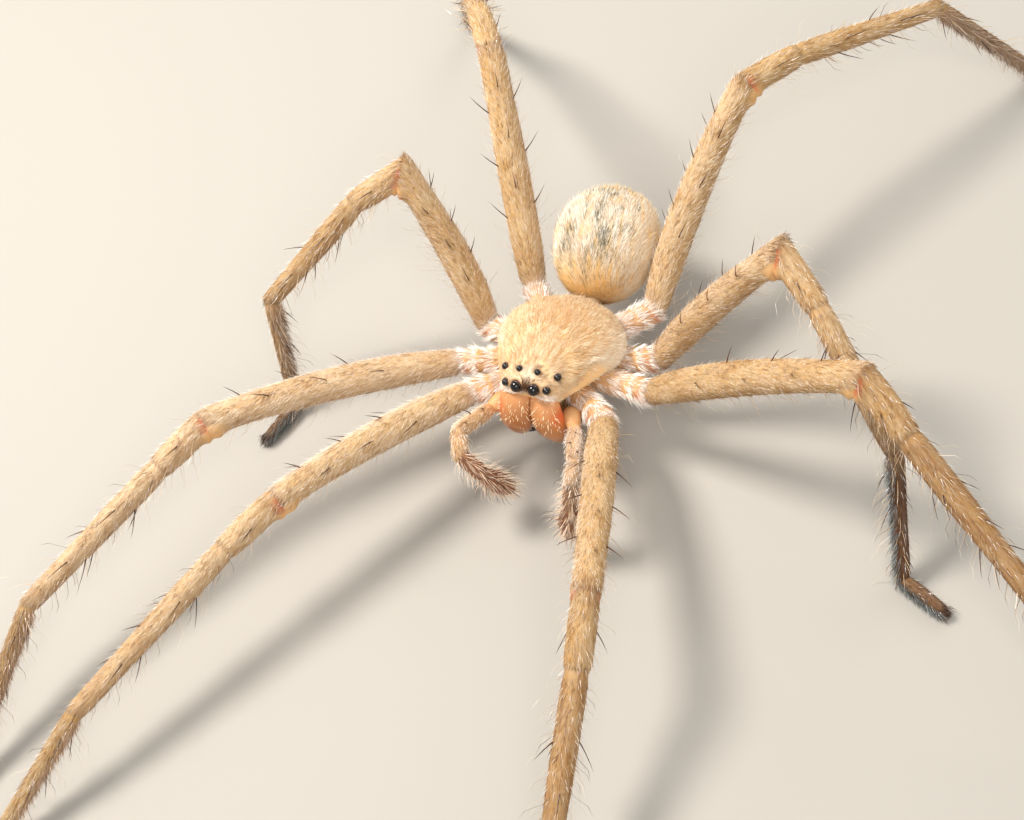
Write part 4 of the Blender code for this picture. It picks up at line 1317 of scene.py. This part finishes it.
def makeJaws():
    for label, side in (("L", 1), ("R", -1)):
        chance = np.random.default_rng(31 + side)
        form = stationForm(jaw["stations"], side, jaw["around"], jaw["rings"])
        level = form["stations"][:, 2][:, None]
        inner = np.sin(form["angles"])[None] * -side      # towards the other jaw
        front = np.cos(form["angles"])[None]
        upper = within((level + 0.9) / 0.6)
        # how far a jaw stays from the middle
        edge = np.abs(form["stations"][:, 1]) - form["stations"][:, 3]
        nearer = (edge - jaw["gap"])[:, None] * upper * within(inner) ** 2 * (edge < 0.6)[:, None]
        form["points"] = form["points"] - bodyTurn[:, 1] * side * nearer[:, :, None]
        # painted shade on the lower inner faces, where the jaws face each other; the tips are darker too
        setMarks(form, markDark=0.5 * within(inner - 0.6) * (1 - upper) + 0.3 * within(-level - 1.4),
                 markPale=np.clip(0.1 + (level - 0.1) * 0.55, 0, 0.8) * within(front + 0.9),
                 markRed=1.17 * nearTo(level - 0.75, 0.5) * within(-inner - 0.35))
        made = skinObject("jaw_" + label, [form], "jaw")
        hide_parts("chelicera_" + label)
        weight = within(front * 1.6) * (nearTo(level - 0.85, 0.7) + 0.04)
        growHairs("jawBristles_" + label, form, jaw["bristles"], chance, weight)
        weight = within(front + 0.9) * np.clip((level + 2.1) / 1.5, 0.05, 1)
        growHairs("jawDown_" + label, form, jaw["down"], chance, weight)
        fang, _ = bodyLineForm(jaw["fang"], side, jaw["fangRings"], jaw["fangAround"])
        made = skinObject("fangHook_" + label, [fang], "fang")
        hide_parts("fang_" + label)


makeJaws()
print("jaws are made")


# Underside: sternum, lip and the two lobes beside the mouth

underside = {
    "sternum": {"centre": -0.1, "halfLength": 2.15, "halfWidth": 1.85, "from": -1.0, "to": -1.68,
                "rings": 18, "around": 40, "rounding": 0.3, "folds": 0.0},
    # forward, outward, up, half width
    "lobe": ((1.0, 0.75, -1.15, 0.0), (1.1, 0.8, -1.15, 0.42), (2.0, 1.2, -1.16, 0.58),
             (2.7, 1.66, -1.02, 0.56), (3.25, 2.03, -0.55, 0.56), (3.5, 2.2, -0.05, 0.62),
             (3.75, 2.36, 0.05, 0.56), (4.1, 2.6, -0.03, 0.44), (4.5, 2.78, -0.03, 0.36),
             (4.6, 2.82, -0.02, 0.0)),
    "lip": ((1.5, 0.0, -1.2, 0.0), (1.6, 0.0, -1.25, 0.45), (2.1, 0.0, -1.3, 0.52), (2.6, 0.0, -1.25, 0.36),
            (2.75, 0.0, -1.2, 0.0)),
    "lobeRings": 22,
    "lipRings": 14,
    "lipFlat": 0.55,
    "around": 18,
    "hairs": 9000,
}


def makeUnderside():
    chance = np.random.default_rng(41)
    build = underside
    forms = [stackForm(build["sternum"])]
    for side in (1, -1):
        lobe, rows = bodyLineForm(build["lobe"], side, build["lobeRings"], build["around"])
        outer = within((rows[:, 0] - 2.6) / 0.6)[:, None]
        setMarks(lobe, markBare=outer, hairless=outer, markRed=0.1 * outer)
        forms.append(lobe)
    forms.append(bodyLineForm(build["lip"], 1, build["lipRings"], build["around"], build["lipFlat"])[0])
    for form in forms:
        setMarks(form, markGrey=0.15)
    made = skinObject("undersideSkin", forms, "legSkin")
    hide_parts("sternum")
    sets = [rootsOn(form, build["hairs"] // 4, chance) for form in forms]
    hairObject("undersideCoat", joined(sets), "legCoat", 0.34, 0.06, 0.045, 0.25, chance)


makeUnderside()
print("underside is made")


# Palps

palp = {
    "root": (4.05, 2.62, -0.1),
    "lengths": (3.1, 1.5, 1.75, 2.9),
    "pose": {
        "R": ((17, 20), (-24, -16), (-80, -42), (-125, -62)),
        "L": ((24, 11), (17, 9), (-8, -68), (-40, -76)),
    },
    "around": 24,
    "rings": (22, 12, 14, 24),
    "leanReach": 0.8,
    # each part's place along it, half width, half height
    "parts": (
        ((0.0, 0.3, 0.3), (0.08, 0.4, 0.4), (0.3, 0.5, 0.5), (0.8, 0.52, 0.52), (0.95, 0.48, 0.48),
         (1.0, 0.4, 0.4)),
        ((0.0, 0.4, 0.4), (0.2, 0.5, 0.5), (0.8, 0.52, 0.52), (1.0, 0.42, 0.42)),
        ((0.0, 0.42, 0.42), (0.2, 0.5, 0.5), (0.85, 0.52, 0.52), (1.0, 0.4, 0.4)),
        ((0.0, 0.4, 0.4), (0.15, 0.54, 0.54), (0.35, 0.66, 0.66), (0.5, 0.68, 0.68), (0.75, 0.55, 0.55),
         (0.93, 0.34, 0.34), (1.0, 0.0, 0.0)),
    ),
    "coatDepth": 0.04,
    "white": {"L": 0.3, "R": 0.0},
    "hairs": 9000,
    "bristles": ("paleBristle", "palp", {"R": 420, "L": 300}, (0.35, 0.8), 0.034, 0.0272, (0.5, 1.2),
                 {"stray": 0.0, "bent": True}),
    "darkBristles": ("darkBristle", "palp", {"R": 50, "L": 60}, (0.5, 1.0), 0.036, 0.0288, (0.5, 1.2),
                     {"stray": 0.0, "bent": True}),
    # short white hairs on femur and patella
    "glints": ("whiteHair", "palp", {"R": 160, "L": 420}, (0.25, 0.45), 0.04, 0.03, (0.2, 0.7),
               {"stray": 0.0, "bent": True}),
    "spines": ((0.35, 15), (0.6, -20), (0.85, 25)),     # place along the femur, angle
    "spineLook": {"out": 0.4, "lean": 0.45, "bend": 0.35, "length": 0.75, "thick": 0.09},
}


def palpLine(label, side):
    points = [onBody(mirrored(palp["root"], side))]
    ways = [direction(heading, slope, side) for heading, slope in palp["pose"][label]]
    for way, length in zip(ways, palp["lengths"]):
        points.append(points[-1] + way * length)
    upright = np.array([0, 0, 1.0])
    return points, ways, *chained(ways, [unit(upright - ways[0] * (upright @ ways[0]))])


def palpForm(line):
    points, ways, _, backs = line
    rings = [(points[0] - ways[0] * 0.5, np.cross(backs[0], ways[0]), backs[0], 0.0, 0.0)]
    labels = [(0, 0.0)]
    for index, count in enumerate(palp["rings"]):
        places = np.linspace(0, 1, count + 1)
        halves = np.maximum(smoothSections(palp["parts"][index], places) - palp["coatDepth"], 0)
        if index == 3:
            halves[-1] = 0
        reach = min(palp["leanReach"], palp["lengths"][index] / 2)
        for place, ring in mitredRings(line, index, places, halves, reach):
            rings.append(ring)
            labels.append((index, place))
    labels = np.array(labels)
    return newForm(rings, palp["around"]), labels[:, 0][:, None], labels[:, 1][:, None]


def markPalp(form, part, place, side, white):
    femur, patella, tibia, tarsus = [part == index for index in range(4)]
    angle = form["angles"][None]
    edge = within(np.cos(angle - 0.8 * side) * 3.0 - 2.0)
    streaks = within(np.sin(angle * 5 + place * 2) * np.sin(angle * 3 - place * 4))
    joint = patella * nearTo(place, 0.1) * 0.4 * np.abs(np.sin(angle))
    setMarks(form, markPale=femur * (edge + white) + patella * white * 1.5 + tibia * white,
             markGrey=tarsus * 0.95 + tibia * (0.9 - white),
             markDark=joint + white * (0.6 + streaks) * (part < 3),
             markBare=femur * (0.5 + 0.6 * nearTo(place, 0.25)) + patella * 0.4,
             markRed=femur * nearTo(place, 0.08) * 0.3, hairless=0.85 * femur * nearTo(place, 0.14))


def makePalp(label, side):
    chance = np.random.default_rng(51 + side)
    line = palpLine(label, side)
    form, part, place = palpForm(line)
    markPalp(form, part, place, side, palp["white"][label])
    skin = skinObject("palpSkin_" + label, [form], "palpSkin")
    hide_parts("palp_" + label, "palp_tarsus_" + label)
    roots = rootsOn(form, palp["hairs"], chance, np.where(part >= 2, 0.45, 1.0))
    near = partOf(roots, part) < 2
    hairObject("palpCoat_" + label, roots, "palpCoat", np.where(near, 0.3, 0.26), 0.058, 0.034,
               np.where(near, 0.12, 0.15), chance, spread=0.35)
    outer = (part == 1) * 0.12 + (part >= 2) * 1.3
    growHairs("palpBristles_" + label, form, palp["bristles"], chance, outer)
    growHairs("palpDarkBristles_" + label, form, palp["darkBristles"], chance, outer)
    growHairs("palpGlints_" + label, form, palp["glints"], chance, part <= 1)
    return palpSpines(line)


def palpSpines(line):
    look = palp["spineLook"]
    points, ways, _, backs = line
    made = []
    for place, angle in palp["spines"]:
        turn = math.radians(angle)
        out = backs[0] * math.cos(turn) + np.cross(backs[0], ways[0]) * math.sin(turn)
        root = points[0] + (points[1] - points[0]) * place + out * look["out"]
        way, bend = unit(ways[0] * look["lean"] + out), ways[0] * look["bend"]
        made.append(spikeForm(root, way, bend, look["length"], look["thick"]))
    return made


for palpLabel, palpSide in (("L", 1), ("R", -1)):
    spikes += makePalp(palpLabel, palpSide)
print("palps are made")


# Abdomen

abdomen = {
    "centre": (-8.1, 0.0, 1.6),
    "half": (4.0, 3.35, 3.06),
    "yaw": 10.0,
    "tilt": -2.5,
    "rearSwell": 0.10,
    "whorl": 48.0,
    "coatDepth": 0.09,
    "rings": 72,
    "around": 72,
    "hairs": 46000,
    "dents": ((1.0, 0.9), (-0.6, 1.1), (-1.8, 0.8)),     # over the muscles that run down inside
    "dentDepth": 0.05,
    # share of the way from the carapace into the abdomen, and half width
    "waist": ((0.0, 0.0), (0.02, 0.42), (0.5, 0.4), (0.95, 0.5), (1.0, 0.0)),
    "clumps": (0.6, 0.35),   # how ochre and how pale the clumps of hair are
    "length": 0.5,
    "width": 0.06,
    # streaky grey-green patches: forward, left, half length, half width, strength
    "patches": (
        (1.5, -1.7, 1.0, 0.42, 0.62), (2.2, -2.1, 0.8, 0.3, 0.45), (0.1, 0.05, 1.2, 0.26, 0.7),
        (1.9, 0.55, 0.95, 0.5, 0.75), (-1.6, 0.45, 0.7, 0.3, 0.55), (-0.3, 1.2, 0.55, 0.13, 0.8),
        (1.2, 1.45, 0.55, 0.12, 0.8), (0.9, 2.0, 0.5, 0.12, 0.7), (-2.1, -0.2, 0.4, 0.9, 0.4),
        (0.4, -0.9, 0.5, 0.15, 0.45), (-1.0, -0.9, 0.7, 0.2, 0.45), (3.0, -0.4, 0.7, 0.16, 0.6),
        (3.0, -1.2, 0.5, 0.12, 0.6), (-0.4, -2.0, 0.6, 0.15, 0.35),
        (-2.7, 0.7, 0.3, 0.8, 0.5), (-2.4, -1.1, 0.5, 0.3, 0.45), (-0.9, 2.1, 0.5, 0.14, 0.5),
    ),
    "spinneretSlope": -38.0,
    "spinneretFlat": 0.94,
    "spinneretBase": 0.95,
    "spinneretLength": 1.15,
    "spinneretRadius": 0.3,
    # outward, up, share of the length
    "spinneretPlaces": ((0.42, 0.22, 1.0), (-0.42, 0.22, 1.0), (0.36, -0.4, 0.75), (-0.36, -0.4, 0.75)),
}
abdomenTurn = bodyTurn @ turning("Z", abdomen["yaw"]) @ turning("Y", -abdomen["tilt"])
abdomenPlace = onBody(abdomen["centre"])


def abdomenForm():
    build = abdomen
    halfLength, halfWidth, halfHeight = np.array(build["half"]) - build["coatDepth"]
    steps = np.linspace(0, math.pi, build["rings"] + 1)[:, None]
    angles = np.linspace(0, 2 * math.pi, build["around"] + 1)
    # the rings tip forward at the front, so that the hair's whorl lies low
    tip = math.radians(build["whorl"]) * (0.5 + 0.5 * np.cos(steps))
    ahead, upright = np.cos(steps) + 0 * angles[None], np.sin(steps) * np.cos(angles)[None]
    along = ahead * np.cos(tip) + upright * np.sin(tip)
    rise = upright * np.cos(tip) - ahead * np.sin(tip)
    swell = 1 - build["rearSwell"] * along * (1 - along ** 2)
    forward = along * halfLength
    left = np.sin(steps) * np.sin(angles)[None] * swell * halfWidth
    up = rise * swell * halfHeight
    for dentForward, dentLeft in build["dents"]:
        for side in (1, -1):
            dent = nearTo(forward - dentForward, 0.3) * nearTo(left - side * dentLeft, 0.3)
            up = up - build["dentDepth"] * dent * (up > 0)
    local = np.stack([forward, left, up], 2)
    points = local @ abdomenTurn.T + abdomenPlace
    form = sheetForm(points, points[:, :-1].mean(axis=1), angles)
    form["local"] = local
    return form


def markAbdomen(form):
    forward, left, up = [form["local"][:, :, index] for index in range(3)]
    dark = np.zeros(forward.shape)
    for atForward, atLeft, halfLength, halfWidth, strength in abdomen["patches"]:
        spot = nearTo(forward - atForward, halfLength) * nearTo(left - atLeft, halfWidth)
        dark = np.maximum(dark, strength * spot)
    # ochre in front and behind, and on the lower flanks
    ochre = within((forward - 2.65 - 0.28 * left + 0.2 * np.sin(left * 2.3)) / 1.3) * 0.85
    ochre = ochre + 0.6 * within((-forward - 2.0) / 0.8) * (up > 0)
    flank = within(0.25 - up / 3.0) * 0.28
    # painted shade: a tan wash over the left flank
    paintedFlankShade = within((left - 1.2) / 1.6) * 0.3 * (up > -1.5)
    setMarks(form, markDark=dark * (up > 0), markGrey=np.maximum(np.maximum(ochre, flank), paintedFlankShade),
             markPale=0.3 * (up > 0) * within((2.4 - forward) / 1.5))


def makeAbdomen():
    chance = np.random.default_rng(61)
    build = abdomen
    form = abdomenForm()
    markAbdomen(form)
    front = onBody((-2.0, 0, 0.45))
    back = abdomenPlace + abdomenTurn @ np.array([3.2, 0, -0.6])
    waistRows = denser([(*(front * (1 - share) + back * share), half) for share, half in build["waist"]], 16)
    waist = lineForm(waistRows[:, :3], waistRows[:, 3], 20)
    setMarks(waist, markBare=0.6)
    skin = skinObject("abdomenSkin", [form, waist], "abdomenSkin")
    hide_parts("abdomen")
    roots = rootsOn(form, build["hairs"], chance)
    clumped(roots, 12.0, 0.2, 1, "markGrey", build["clumps"])
    hairObject("abdomenCoat", roots, "abdomenCoat", build["length"], build["width"], 0.03, 0.13,
               chance, spread=0.3, toneMarks=True)
    makeSpinnerets()


def makeSpinnerets():
    build = abdomen
    slope = math.radians(build["spinneretSlope"])
    way = np.array([-math.cos(slope), 0, math.sin(slope)])
    halfLength, _, halfHeight = build["half"]
    reach = math.hypot(halfLength * way[0], halfHeight * way[2])
    tip = np.array([halfLength ** 2 * way[0], 0, halfHeight ** 2 * way[2]]) / reach * build["spinneretFlat"]
    left = np.array([0, 1.0, 0])
    up = np.cross(way, left)

    def spot(outward, rise, away):
        return abdomenPlace + abdomenTurn @ (tip + left * outward + up * rise + way * away)

    base = build["spinneretBase"]
    rows = [(0.0, 0.0), (0.0, 0.9), (0.3, 1.0), (0.55, 0.96), (0.75, 0.8), (0.8, 0.0)]
    forms = [lineForm([spot(0, 0, away - 0.1) for away, _ in rows], [share * base for _, share in rows], 32)]
    for outward, rise, share in build["spinneretPlaces"]:
        length = build["spinneretLength"] * share
        rows = denser([(0.2, 0.8), (0.5, 1.0), (0.45 + length * 0.55, 0.95), (0.45 + length * 0.6, 0.8),
                       (0.45 + length * 0.95, 0.55), (0.45 + length, 0.0)], 14)
        line = [spot(outward * (1 + 0.35 * index / 14), rise * (1 + 0.15 * index / 14), row[0])
                for index, row in enumerate(rows)]
        forms.append(lineForm(line, rows[:, 1] * build["spinneretRadius"], 14))
    for form in forms:
        setMarks(form, markGrey=0.3)
    made = skinObject("spinneretSkin", forms, "legSkin")
    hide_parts("spinnerets")
    chance = np.random.default_rng(71)
    sets = [rootsOn(form, 900, chance) for form in forms]
    hairObject("spinneretCoat", joined(sets), "legCoat", 0.26, 0.05, 0.04, 0.35, chance)


makeAbdomen()
print("abdomen is made")


# Spines and claws, joined

skinObject("spines", spikes, "spine")
skinObject("claws", claws, "claw")
print("spines and claws are made")
